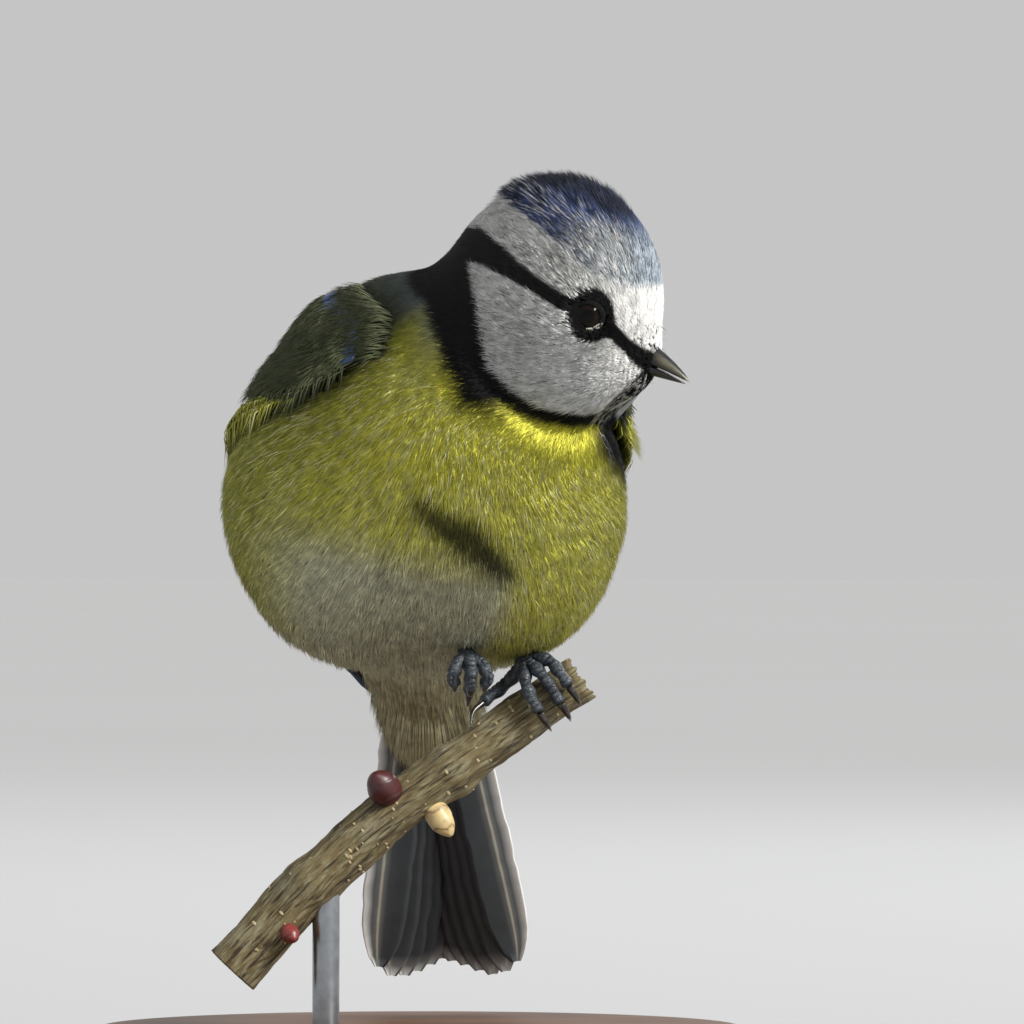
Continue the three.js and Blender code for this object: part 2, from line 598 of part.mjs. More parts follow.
// The other leg is drawn up in the belly feathers, with only the clenched toes outside them
const RIGHT_ANKLE = v3(5.4, -9.3, 47);
const RIGHT_TARSUS = [v3(3.8, -3.4, 51.4), v3(4.7, -6.4, 48.9), RIGHT_ANKLE];
const RIGHT_TOES = {
  middle: [[0, 0, 0], [0.3, -2.4, -0.6], [0.4, -3.2, -2.4], [0.3, -2.2, -3.8]],
  inner: [[0, 0, 0], [-1.4, -2, -0.7], [-2, -2.6, -2.2], [-2, -1.8, -3.4]],
  outer: [[0, 0, 0], [1.7, -1.7, -0.8], [2.5, -2.2, -2.2], [2.4, -1.5, -3.4]],
  hind: [[0, 0, 0], [0.2, 1.2, -1.6], [0.2, 0.9, -3.2], [0.1, 0.2, -4.4]],
};
const RIGHT_CLAWS = {
  middle: [[0.3, -2, -4.2], [0.2, -1.4, -5], [0.1, -0.6, -5.3]],
  inner: [[-2, -1.4, -3.7], [-1.9, -0.5, -4.4], [-1.7, 0.4, -4.4]],
  outer: [[2.3, -1.1, -3.7], [2.1, -0.2, -4.4], [1.9, 0.6, -4.4]],
  hind: [[0.1, 0.1, -4.8], [0, 0.5, -5.8], [-0.2, 0.8, -6.7]],
};
const offsets = (list) => list.map((p) => v3(...p).multiplyScalar(0.8).add(RIGHT_ANKLE));

// Stand
function standBase() {
  const profile = [
    [0, 0], [BASE_RADIUS - 0.8, 0], [BASE_RADIUS, 0.8], [BASE_RADIUS, BASE_HEIGHT - 2],
    [BASE_RADIUS - 0.5, BASE_HEIGHT - 0.9], [BASE_RADIUS - 1.6, BASE_HEIGHT - 0.2],
    [BASE_RADIUS - 2.6, BASE_HEIGHT], [0, BASE_HEIGHT],
  ];
  return new THREE.LatheGeometry(profile.map((p) => new THREE.Vector2(...p)), 56).rotateX(Math.PI / 2);
}
function standRod() {
  const top = 30;
  const rod = new THREE.CylinderGeometry(ROD_RADIUS, ROD_RADIUS, top - BASE_HEIGHT - GAP, 24)
    .rotateX(Math.PI / 2)
    .translate(ROD_PLACE.x, ROD_PLACE.y, (top + BASE_HEIGHT + GAP) / 2);
  const under = solid(rod).subtract(twig(GAP)).decompose();
  return under.reduce((a, b) => (b.boundingBox().min[2] < a.boundingBox().min[2] ? b : a));
}

// Put together
const bird = new THREE.Group();
bird.name = "blue_tit_model";
function place(name, shape, colour, roughness, metalness = 0) {
  const geometry = shape.isBufferGeometry ? shape : tidied(shape);
  geometry.computeVertexNormals();
  const material = new THREE.MeshStandardMaterial({ color: colour, roughness, metalness });
  const mesh = new THREE.Mesh(geometry, material);
  mesh.name = name;
  bird.add(mesh);
}
const SLATE = 0x52606c;
place("head", headSolid(), 0x3f7fbf, 0.8);
place("neck", neckSolid(), 0x2a3550, 0.8);
const FEET = [
  ["left", TARSUS_PATH, LEFT_TOES, LEFT_CLAWS, places],
  ["right", RIGHT_TARSUS, RIGHT_TOES, RIGHT_CLAWS, offsets],
];
const foot = (path, toes, put, grow) =>
  join([tarsus(path, grow), ...Object.values(toes).map((list) => toe(put(list), grow))]);
const sockets = FEET.map(([, path, toes, , put]) => foot(path, toes, put, GAP));
place("torso", torsoSolid().subtract(join(sockets)), 0xe4cf45, 0.85);
place("tail", tailSolid(), 0x6b7c8c, 0.7);
place("wing_left", wingSolid(1), 0x2f4f7a, 0.7);
place("wing_right", wingSolid(-1), 0x2f4f7a, 0.7);
place("bill_upper", upperBill(), 0x1d1e21, 0.35);
place("bill_lower", lowerBill(), 0x1d1e21, 0.35);
place("eye_left", solid(ball(eyeCentre(-1), EYE_RADIUS)), 0x100c0a, 0.08);
place("eye_right", solid(ball(eyeCentre(1), EYE_RADIUS)), 0x100c0a, 0.08);
for (const [name, path, toes, claws, put] of FEET) {
  const kinds = Object.keys(toes);
  const cuts = kinds.map((kind) => claw(put(claws[kind]), GAP));
  place(`leg_${name}`, foot(path, toes, put, 0).subtract(join(cuts)), SLATE, 0.6);
  for (const kind of kinds) place(`claw_${name}_${kind}`, claw(put(claws[kind])), 0x2b2a2b, 0.4);
}
place("perch_twig", twig(), 0x7d7355, 0.9);
for (const one of BUDS) place(one.name, bud(one), one.colour, 0.7);
place("stand_base", standBase(), 0x4b3322, 0.5);
place("stand_rod", standRod(), 0x8d9196, 0.3, 1);

export default bird;
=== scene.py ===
# %% [markdown]
# # A life-size blue tit on a twig
# The imported CAD model fixes where everything is. This script dresses it: one skin under the whole bird,
# a coat of small feathers over the skin, long feathers in the wings and the tail, and finer bare parts.
# We load the frame first.

from math import cos, pi, radians, sin

import bmesh
import bpy
import numpy as np
from mathutils import Matrix, Vector
from mathutils.bvhtree import BVHTree


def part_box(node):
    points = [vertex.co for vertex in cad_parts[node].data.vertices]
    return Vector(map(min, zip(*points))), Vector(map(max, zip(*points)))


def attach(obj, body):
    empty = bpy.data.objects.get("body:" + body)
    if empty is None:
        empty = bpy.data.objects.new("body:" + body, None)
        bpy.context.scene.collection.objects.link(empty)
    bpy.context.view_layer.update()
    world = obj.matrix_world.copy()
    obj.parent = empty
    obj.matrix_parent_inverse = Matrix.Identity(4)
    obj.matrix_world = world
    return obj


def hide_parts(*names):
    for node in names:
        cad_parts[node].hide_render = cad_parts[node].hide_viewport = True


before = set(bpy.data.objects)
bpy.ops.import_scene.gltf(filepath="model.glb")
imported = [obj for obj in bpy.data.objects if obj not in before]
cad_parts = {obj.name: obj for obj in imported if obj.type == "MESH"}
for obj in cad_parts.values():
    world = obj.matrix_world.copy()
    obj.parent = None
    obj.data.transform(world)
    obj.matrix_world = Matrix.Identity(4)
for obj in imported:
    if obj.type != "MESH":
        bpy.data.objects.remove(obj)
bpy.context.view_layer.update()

# %% [markdown]
# A bird has its own directions. The trunk leans, the head is turned and dipped, and the tail hangs back.
# Naming them once lets us place every feather by "towards the bill" or "down the back". We count in
# millimetres here, because that is how a bird is measured, and change to metres when a mesh is made.

# %% Directions of the trunk, the head and the tail
MM = 0.001


def unit(v):
    v = np.asarray(v, float)
    return v / np.maximum(np.linalg.norm(v, axis=-1, keepdims=True), 1e-12)


def at_right_angles(v, axis):
    return unit(v - axis * np.dot(v, axis))


BODY_CENTRE = np.array([1.6, 1.0, 66.8])
BODY_RADII = np.array([20.6, 19.4, 21.4])
BODY_UP = unit([0.17, -0.45, 0.88])
BODY_TURN = radians(12)
ahead = at_right_angles(np.array([0.0, -1.0, 0.0]), BODY_UP)
BODY_FRONT = ahead * cos(BODY_TURN) + np.cross(BODY_UP, ahead) * sin(BODY_TURN)
BODY_LEFT = np.cross(BODY_UP, BODY_FRONT)
BODY_AXES = np.array([BODY_FRONT, BODY_LEFT, BODY_UP])

HEAD_CENTRE = np.array([14.6, -7.0, 86.0])
HEAD_YAW, HEAD_PITCH = radians(20), radians(21)
HEAD_FRONT = np.array(
    [cos(HEAD_PITCH) * cos(HEAD_YAW), -cos(HEAD_PITCH) * sin(HEAD_YAW), -sin(HEAD_PITCH)]
)
HEAD_UP = at_right_angles(np.array([0.0, 0.0, 1.0]), HEAD_FRONT)
HEAD_RIGHT = np.cross(HEAD_FRONT, HEAD_UP)
HEAD_AXES = np.array([HEAD_FRONT, HEAD_RIGHT, HEAD_UP])

TAIL_ROOT = np.array([0.3, 10.5, 53.0])
TAIL_DOWN = unit([sin(radians(3)), sin(radians(28)), -cos(radians(28))])
TAIL_ACROSS = at_right_angles(np.array([1.0, 0.0, 0.0]), TAIL_DOWN)
TAIL_BACK = np.cross(TAIL_ACROSS, TAIL_DOWN)
TAIL_AXES = np.array([TAIL_ACROSS, TAIL_BACK, TAIL_DOWN])


def head_place(forward, side, up):
    return HEAD_CENTRE + forward * HEAD_FRONT + side * HEAD_RIGHT + up * HEAD_UP


print("bill points to", HEAD_FRONT.round(2))

# %% [markdown]
# The bird's outline is a soft union of egg shapes: breast, belly, flanks, shoulders, nape, crown, cheeks
# and the feathers that bind the bill. We write the union as a distance, because that tells how deep any
# point lies. The skin, each feather's foot and each feather's tip all ask it, so they always agree.

# %% The outline as a distance
WORLD_AXES = np.eye(3)
TRUNK_EGGS = [
    (BODY_CENTRE, BODY_RADII, BODY_AXES),
    ((9.5, -3.5, 57.6), (10.8, 12, 10.6), WORLD_AXES),
    ((-7, -2, 57.6), (11.5, 12, 10.5), WORLD_AXES),
    ((-9.6, -4.5, 64), (12, 12, 13.5), WORLD_AXES),
    ((11.5, -3, 65), (11.2, 12, 13), WORLD_AXES),
    ((-2, 1, 79.6), (9.4, 9.6, 10), WORLD_AXES),
    (TAIL_ROOT - 1.5 * TAIL_BACK, (8.5, 8.5, 10), TAIL_AXES),
    (TAIL_ROOT + 8.5 * TAIL_DOWN - 1.2 * TAIL_BACK, (5.9, 3.6, 12), TAIL_AXES),
]
HEAD_EGGS = [
    ((7.4, -4, 80.8), (12.7, 12, 10.8), WORLD_AXES),
    (HEAD_CENTRE, (12.3, 12, 13.4), WORLD_AXES),
    (head_place(0.8, 0, 4.4), (8.4, 8.6, 8.4), HEAD_AXES),
    (head_place(4, 4.8, -4.6), (7, 6.4, 7.2), HEAD_AXES),
    (head_place(4, -4.8, -4.6), (7, 6.4, 7.2), HEAD_AXES),
    (head_place(8.6, 0, -2.4), (5, 3.4, 4.6), HEAD_AXES),
]
EGGS = TRUNK_EGGS + HEAD_EGGS
BLEND = 3.2


def outline(points, eggs=EGGS):
    """Distance of each point from the bird's outline, below zero inside it."""
    whole = np.full(len(points), 1e3)
    for centre, radii, axes in eggs:
        q = ((points - np.array(centre)) @ axes.T) / np.array(radii)
        k = np.linalg.norm(q, axis=1)
        slope = np.linalg.norm(q / np.array(radii), axis=1)
        egg = k * (k - 1) / np.maximum(slope, 1e-9)
        near = np.maximum(BLEND - np.abs(whole - egg), 0) / BLEND
        whole = np.minimum(whole, egg) - near**2 * BLEND / 4
    return whole


def outward(points):
    """Direction that leads straight out of the bird at each point."""
    here = outline(points)
    step = 0.05
    slope = [outline(points + step * axis) - here for axis in WORLD_AXES]
    return unit(np.array(slope).T)


print("depth of the body's middle:", outline(BODY_CENTRE[None]).round(1))

# %% [markdown]
# Nearly every mesh here comes from arrays of points and faces. One helper turns them into an object that sits
# at the origin, unturned, with its place in its mesh. It can carry a colour for each point and a UV map.

# %% A helper that makes a piece
def mesh_piece(name, points, faces, paint=None, slot=None, replaced=(), colours=None, uv=None):
    faces = np.asarray(faces, np.int32)
    mesh = bpy.data.meshes.new(name)
    mesh.vertices.add(len(points))
    mesh.vertices.foreach_set("co", (np.asarray(points) * MM).astype(np.float32).ravel())
    mesh.loops.add(faces.size)
    mesh.loops.foreach_set("vertex_index", faces.ravel())
    mesh.polygons.add(len(faces))
    mesh.polygons.foreach_set("loop_start", np.arange(len(faces), dtype=np.int32) * faces.shape[1])
    mesh.polygons.foreach_set("use_smooth", np.ones(len(faces), bool))
    mesh.update(calc_edges=True)
    if colours is not None:
        add_colours(mesh, colours)
    if uv is not None:
        layer = mesh.uv_layers.new(name="OFBake")
        layer.data.foreach_set("uv", uv[faces.ravel()].astype(np.float32).ravel())
    if paint:
        mesh.materials.append(paint.material)
    return placed(name, mesh, slot, replaced)


def placed(name, mesh, slot=None, replaced=()):
    """An object with this mesh, lamp or lens; with a slot, it rides on the model's one body."""
    piece = bpy.data.objects.new(name, mesh)
    bpy.context.scene.collection.objects.link(piece)
    if slot:
        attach(piece, "root")
    if replaced:
        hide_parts(*replaced)
    return piece


def add_colours(mesh, colours):
    layer = mesh.color_attributes.new("plumage", "FLOAT_COLOR", "POINT")
    opaque = np.column_stack([colours, np.ones(len(colours))])
    layer.data.foreach_set("color", opaque.astype(np.float32).ravel())


def add_vectors(mesh, name, vectors):
    layer = mesh.attributes.new(name, "FLOAT_VECTOR", "POINT")
    layer.data.foreach_set("vector", vectors.astype(np.float32).ravel())


# %% [markdown]
# A material is a small tree of shader nodes. These helpers write one in a line or two: a node with its
# settings, the links into it, and often a colour stored in the mesh that a noise breaks up. Colours are
# written as a painter reads them, in sRGB, and turned into the linear values that light adds up in.

# %% Helpers for colours and materials
def linear(code):
    srgb = np.array([int(code[i : i + 2], 16) for i in (0, 2, 4)]) / 255
    return np.where(srgb < 0.04045, srgb / 12.92, ((srgb + 0.055) / 1.055) ** 2.4)


def linears(codes):
    return [linear(code) for code in codes.split()]


class Paint:
    """A material with one Principled shader, and short ways to add nodes to it."""

    def __init__(self, name, roughness, **constants):
        self.material = bpy.data.materials.new(name)
        self.material.use_nodes = True
        self.tree = self.material.node_tree
        self.shader = self.tree.nodes["Principled BSDF"]
        self.shader.inputs["Roughness"].default_value = roughness
        for socket, value in constants.items():
            self.shader.inputs[socket.replace("_", " ")].default_value = value
        self.place = self.node("ShaderNodeTexCoord").outputs["Object"]

    def node(self, kind, settings=None, **inputs):
        made = self.tree.nodes.new(kind)
        for key, value in (settings or {}).items():
            setattr(made, key, value)
        for key, value in inputs.items():
            self.feed(made.inputs[key], value)
        return made

    def feed(self, socket, value):
        if isinstance(value, bpy.types.NodeSocket):
            self.tree.links.new(value, socket)
        elif socket.type == "RGBA" and len(value) == 3:
            socket.default_value = (*value, 1)
        else:
            socket.default_value = value

    def noise(self, scale, detail=2.0, vector=None, rough=0.5):
        place = vector or self.place
        made = self.node("ShaderNodeTexNoise", Vector=place, Scale=scale, Detail=detail, Roughness=rough)
        return made.outputs["Fac"]

    def stretched(self, vector, scale):
        return self.node("ShaderNodeMapping", Vector=vector, Scale=scale).outputs[0]

    def ramp(self, value, *stops):
        made = self.node("ShaderNodeValToRGB", Fac=value)
        points = made.color_ramp.elements
        while len(points) < len(stops):
            points.new(0.5)
        for point, (position, colour) in zip(points, stops):
            point.position = position
            point.color = (*colour, 1) if np.ndim(colour) else (colour, colour, colour, 1)
        return made.outputs["Color"]

    def mix(self, factor, a, b, blend="MIX"):
        made = self.node("ShaderNodeMix", {"data_type": "RGBA", "blend_type": blend})
        self.feed(made.inputs[0], factor)
        self.feed(made.inputs[6], a)
        self.feed(made.inputs[7], b)
        return made.outputs[2]

    def grained(self, colour, value, *stops):
        """The colour times a ramp of greys."""
        return self.mix(1.0, colour, self.ramp(value, *stops), "MULTIPLY")

    def maths(self, operation, a, b=0.0):
        made = self.node("ShaderNodeMath", {"operation": operation})
        self.feed(made.inputs[0], a)
        self.feed(made.inputs[1], b)
        return made.outputs[0]

    def attribute(self, name, output="Color"):
        return self.node("ShaderNodeAttribute", {"attribute_name": name}).outputs[output]

    def bump(self, height, strength, distance):
        made = self.node("ShaderNodeBump", Strength=strength, Distance=distance, Height=height)
        self.feed(self.shader.inputs["Normal"], made.outputs["Normal"])

    def colour(self, value):
        self.feed(self.shader.inputs["Base Color"], value)
        return self

    def speckled(self, scale, detail, *stops):
        """A colour that wanders between the stops with a noise."""
        self.colour(self.ramp(self.noise(scale, detail), *stops))

    def roughness(self, value):
        self.feed(self.shader.inputs["Roughness"], value)


# %% [markdown]
# ## Markings
# The skin and the feathers wear the same markings, so one function gives the colour of any place on the
# bird. On the head it works in degrees round the head's middle: "round" from the bill to the nape, and
# "up" from the head's own level. A stripe is a line through such angles with a width at each point.

# %% Angles round the head and the body
def ease(start, end, value):
    t = np.clip((value - start) / (end - start), 0, 1)
    return t * t * (3 - 2 * t)


def head_angles(points):
    forward, side, up = ((points - HEAD_CENTRE) @ HEAD_AXES.T).T
    distance = np.sqrt(forward**2 + side**2 + up**2)
    return np.degrees(np.arctan2(np.abs(side), forward)), np.degrees(np.arcsin(up / distance)), distance


def on_head(distance):
    """1 on the head and 0 on the trunk, from the distance to the head's middle."""
    return ease(24, 19, distance)


def from_head(points):
    """Distance from the head's middle."""
    return head_angles(points)[2]


def body_angles(points):
    """Degrees round the trunk from the breast, and millimetres up the trunk from its middle."""
    front, left, up = ((points - BODY_CENTRE) @ BODY_AXES.T).T
    return np.degrees(np.arctan2(left, front)), up


def stripe(around, up, path, soft=1.6):
    """1 on a stripe, 0 off it. The path holds (degrees round, degrees up, half width)."""
    inside = np.full(len(around), -1e3)
    for (a0, u0, w0), (a1, u1, w1) in zip(path, path[1:]):
        run = np.array([a1 - a0, u1 - u0])
        t = np.clip(((around - a0) * run[0] + (up - u0) * run[1]) / (run @ run), 0, 1)
        gap = np.hypot(around - a0 - t * run[0], up - u0 - t * run[1])
        inside = np.maximum(inside, w0 + (w1 - w0) * t - gap)
    return ease(-soft, soft, inside)


EYE_STRIPE = [
    (4, -8, 6), (14, -6, 5), (24, -2.5, 4), (34, 1.8, 4.6), (44, 6, 6.6), (56, 8.5, 6.4), (68, 9, 4.6),
    (81, 12, 4.4), (96, 15, 5.6), (113, 18, 7.5), (134, 18, 10), (152, 12, 13), (180, 10, 15),
]  # fmt: skip
COLLAR = [
    (180, 8, 15), (150, 2, 14), (132, -3, 13), (118, -15, 11), (106, -28, 8), (94, -38, 4.6),
    (77, -42.5, 3.4), (58, -45, 3.4), (38, -44, 4), (20, -44, 4.5), (0, -44, 5),
]  # fmt: skip
BIB = [(0, -14, 10), (6, -22, 7.5), (9, -31, 5), (6, -42, 6)]
CAP_EDGE = np.array([
    (0, 30), (18, 29), (34, 25), (48, 27), (62, 31), (78, 37), (97, 42), (121, 45), (145, 46), (180, 45),
])  # fmt: skip


def over_cap_edge(around, up):
    """Degrees above the cap's lower edge."""
    return up - np.interp(around, *CAP_EDGE.T)


print("stripes:", len(EYE_STRIPE), len(COLLAR), len(BIB))

# %% [markdown]
# Real feathers are never one flat colour, so paler and darker shades are laid over parts of each patch, and
# each tuft later takes a shade of its own. Some darker ones are painted shade: the stronger olive on the
# bird's right flank, the grey over the white brow and the deep blue along the top of the cap. The order of
# painting matters: trunk first, then neck, cheek and cap, and the black bands last.

# %% The colour of any place on the bird
YELLOW, OLIVE_AND_SHADE_YELLOW, DEEP_YELLOW = linears("e6e363 878b35 d8d33f")
BELLY_WHITE, BELLY_GREY, UNDERTAIL = linears("d6d6be 1b1e1a ebe7bd")
MANTLE, RUMP, NECK_GREY = linears("565c42 7b8446 6f7a80")
BLACK, WHITE, CHEEK_GREY = linears("08090c fafaf7 b3b9b4")
CAP_BLUE, CAP_PALE, CAP_DEEP_AND_SHADE = linears("54689f b3c1cd 141826")


def laid(under, colour, amount):
    return under + (colour - under) * amount[:, None]


def plain(colour, points):
    return np.tile(colour, (len(points), 1))


def trunk_colours(points):
    azimuth, up = body_angles(points)
    colours = plain(YELLOW, points)
    colours = laid(colours, DEEP_YELLOW, ease(4, 10, up) * 0.5)
    # Olive on both flanks towards the back is the bird's own colour; the stronger olive that reaches forward
    # on the bird's right is painted shade for the side away from the light.
    colours = laid(colours, OLIVE_AND_SHADE_YELLOW, ease(20, 75, -azimuth) * 0.75 + ease(45, 85, azimuth) * 0.5)
    belly = ease(3, -3, up) * ease(-66, -38, azimuth) * ease(22, 12, azimuth)
    colours = laid(colours, BELLY_WHITE, np.maximum(belly, ease(-11, -17, up)) * 0.9)
    colours = laid(colours, UNDERTAIL, ease(-14, -20, up) * 0.9)
    ventral = stripe(azimuth * 0.36, up, [(-5.5, 6.2, 1.0), (0.5, 3.6, 2.2), (5.2, 0.2, 1.4)], 1.3)
    colours = laid(colours, BELLY_GREY, ventral * 0.9)
    shoulder_reach = 38 * ease(6, 14, up)
    back = ease(96, 116, np.abs(azimuth) + shoulder_reach)
    colours = laid(colours, MANTLE, back)
    return laid(colours, RUMP, back * ease(-4, -14, up) * 0.8)


def plumage(points):
    around, up, distance = head_angles(points)
    colours = trunk_colours(points)
    collar_edge = np.interp(around, *np.array(COLLAR)[::-1, :2].T)
    neck = ease(-26, -12, up - collar_edge) * ease(104, 128, around) * ease(27, 21, distance)
    colours = laid(colours, NECK_GREY, neck * 0.75)
    head = ease(-1.4, 1.4, up - collar_edge) * ease(25, 19, distance)
    colours = laid(colours, WHITE, head)
    ear = np.exp(-(((around - 84) / 26) ** 2) - ((up + 12) / 15) ** 2)
    colours = laid(colours, CHEEK_GREY, head * ear * 0.7)
    # Grey over the white band above the eye is painted shade, fading out towards the nape.
    shaded_brow = ease(9, 14, up) * ease(44, 26, up) * ease(34, 52, around)
    colours = laid(colours, CHEEK_GREY, head * shaded_brow * ease(150, 90, around))
    cap = head * ease(-2, 2, over_cap_edge(around, up))
    blue = laid(plain(CAP_BLUE, points), CAP_PALE, ease(92, 50, around) * ease(66, 44, up) * 0.95)
    # The cap turns deeper blue towards the back; the deep blue along its top is painted shade, where the
    # crest stands against the light.
    blue = laid(blue, CAP_DEEP_AND_SHADE, ease(100, 145, around) * 0.8)
    blue = laid(blue, CAP_DEEP_AND_SHADE, ease(58, 70, up) * 0.85)
    colours = colours + (blue - colours) * cap[:, None]
    for path in (COLLAR, BIB, EYE_STRIPE):
        mark = stripe(around, up, path) * ease(27, 23, distance)
        colours = laid(colours, BLACK, mark)
    from_eye = np.hypot((around - 49.5) * 0.95, up - 7.5)
    return laid(colours, BLACK, ease(15.5, 12.5, from_eye) * on_head(distance))


print("breast", plumage(BODY_CENTRE[None] + 20 * BODY_FRONT).round(2))

# %% [markdown]
# ## Skin
# Under the feathers lies one skin with no seam. The egg shapes are joined by a voxel remesh, which gives
# even faces everywhere. Then each point walks along its own normal until it lies as deep under the outline
# as the coat is thick there: deepest on the trunk, and thin round the bill and the eyes.

# %% Walk points to a depth under the outline
BILL_AHEAD, BILL_LEVEL = 11.1, -1.9
BILL_BASE = head_place(BILL_AHEAD, 0, BILL_LEVEL)
EYE_RADIUS, EYE_PROUD, EYE_FRONT = 2.1, 0.55, 1.6


def eye_centre(side):
    place = head_place(7.1, 4 * side, 1.3)
    while outline(place[None])[0] < EYE_PROUD - EYE_RADIUS:
        place = place + 0.02 * side * HEAD_RIGHT
    return place


def eye_gaze(side):
    return unit(HEAD_RIGHT * side + 0.3 * HEAD_FRONT)


EYES = {side: (eye_centre(side), eye_gaze(side)) for side in (1, -1)}


def from_bill(points):
    return np.linalg.norm(points - BILL_BASE, axis=1)


def from_eyes(points):
    """Distance from the nearer eye's front."""
    gaps = [np.linalg.norm(points - centre - EYE_FRONT * gaze, axis=1) for centre, gaze in EYES.values()]
    return np.min(gaps, axis=0)


def off_gaze(steps, gaze):
    """The part of each step from the eye that lies across its line of sight."""
    return steps - np.outer(steps @ gaze, gaze)


def coat_depth(points):
    """How thick the feathers lie at each place, in millimetres."""
    depth = 0.75 + 0.55 * ease(14, 26, from_head(points))
    depth = depth * (0.42 + 0.58 * ease(2.5, 10, from_bill(points)))
    return np.minimum(depth, 0.3 + 0.5 * ease(1.4, 4.5, from_eyes(points)))


def settled(points, steps=5):
    for _ in range(steps):
        points = points - outward(points) * (outline(points) + coat_depth(points))[:, None]
    return points


print("eyes at", EYES[1][0].round(1), EYES[-1][0].round(1))

# %% Grow the skin
SKIN_VOXEL = 0.75


def egg_cluster():
    cluster = bmesh.new()
    for centre, radii, axes in EGGS:
        turn = axes.T * np.array(radii)
        for vert in bmesh.ops.create_icosphere(cluster, subdivisions=4, radius=1)["verts"]:
            vert.co = Vector((turn @ np.array(vert.co) + np.array(centre)) * MM)
    mesh = bpy.data.meshes.new("egg_cluster")
    cluster.to_mesh(mesh)
    cluster.free()
    return mesh


def evaluated_mesh(piece):
    """The piece's mesh with its modifiers applied, as plain data."""
    graph = bpy.context.evaluated_depsgraph_get()
    return bpy.data.meshes.new_from_object(piece.evaluated_get(graph))


def arrays_of(mesh):
    points = np.zeros(len(mesh.vertices) * 3)
    mesh.vertices.foreach_get("co", points)
    edges = np.zeros(len(mesh.edges) * 2, np.int32)
    mesh.edges.foreach_get("vertices", edges)
    return points.reshape(-1, 3) / MM, edges.reshape(-1, 2)


def relaxed(points, edges):
    """Each point moved halfway to the mean of its neighbours."""
    both = np.vstack([edges, edges[:, ::-1]])
    count = np.bincount(both[:, 0], minlength=len(points))[:, None]
    total = np.array([np.bincount(both[:, 0], points[both[:, 1], k], len(points)) for k in range(3)]).T
    return 0.5 * points + 0.5 * total / np.maximum(count, 1)


cluster = placed("egg_cluster", egg_cluster())
remesh = cluster.modifiers.new("even faces", "REMESH")
remesh.mode, remesh.voxel_size, remesh.use_smooth_shade = "VOXEL", SKIN_VOXEL * MM, True
skin_mesh = evaluated_mesh(cluster)
bpy.data.objects.remove(cluster)
skin_points, skin_edges = arrays_of(skin_mesh)
skin_points = settled(skin_points, 6)
for _ in range(3):
    skin_points = settled(relaxed(skin_points, skin_edges), 2)
skin_mesh.vertices.foreach_set("co", (skin_points * MM).ravel())
skin_mesh.name = "skin"
# The skin carries the plumage's markings at half brightness: painted shade for the gaps between the barbs.
add_colours(skin_mesh, plumage(skin_points) * 0.5)
skin = placed("skin", skin_mesh, "body_plumage", ("head", "neck", "torso"))
print("skin:", len(skin_points), "points")

# %% [markdown]
# The coat is baked to a picture when the model leaves Blender, so each tuft needs its own patch on a flat
# map. Unwrapping the skin itself makes that map: Smart UV Project cuts it where its faces turn most.

# %% Unwrap the skin
skin_mesh.uv_layers.new(name="OFBake")
for other in bpy.context.selected_objects:
    other.select_set(False)
skin.select_set(True)
bpy.context.view_layer.objects.active = skin
bpy.ops.object.mode_set(mode="EDIT")
bpy.ops.mesh.select_all(action="SELECT")
bpy.ops.uv.smart_project(angle_limit=radians(66), island_margin=0.004)
bpy.ops.object.mode_set(mode="OBJECT")
skin_mesh = skin.data
skin_mesh.calc_loop_triangles()
skin_uv = np.zeros(len(skin_mesh.loops) * 2)
skin_mesh.uv_layers["OFBake"].data.foreach_get("uv", skin_uv)
skin_uv = skin_uv.reshape(-1, 2)
triangles = np.zeros(len(skin_mesh.loop_triangles) * 3, np.int32)
skin_mesh.loop_triangles.foreach_get("loops", triangles)
triangle_uv = skin_uv[triangles].reshape(-1, 3, 2)
skin_mesh.loop_triangles.foreach_get("vertices", triangles)
triangle_points = skin_points[triangles].reshape(-1, 3, 3)
print("skin map covers", skin_uv.min(0).round(2), "to", skin_uv.max(0).round(2))

# %% [markdown]
# Plumage is soft and matt. Its paint is the colour stored in the mesh, broken by a fine noise so that no
# two barbs match, with a trace of sheen for light caught in the down.

# %% Paint for small feathers
def plumage_paint(name, noise_scale, roughness):
    paint = Paint(name, roughness, Sheen_Weight=0.02, Sheen_Roughness=0.5, Specular_IOR_Level=0.14)
    own = paint.attribute("plumage")
    paint.colour(paint.grained(own, paint.noise(noise_scale, 3), (0.3, 0.7), (0.7, 1.12)))
    return paint


skin_paint = plumage_paint("skin_down", 2600, 0.9)
skin_paint.bump(skin_paint.noise(3800, 2), 0.5, 0.0003)
coat_paint = plumage_paint("coat_barbs", 900, 0.72)
skin_mesh.materials.append(skin_paint.material)
print("paints:", skin_paint.material.name, coat_paint.material.name)

# %% [markdown]
# ## Long feathers
# A wing or tail feather is a stiff shaft with a thin vane on each side. We make one as a closed strip:
# rings across the feather, each with a raised shaft in the middle and sharp edges. Curves that the parts
# of the bird follow all run through a few points, so a smooth curve through points comes first.

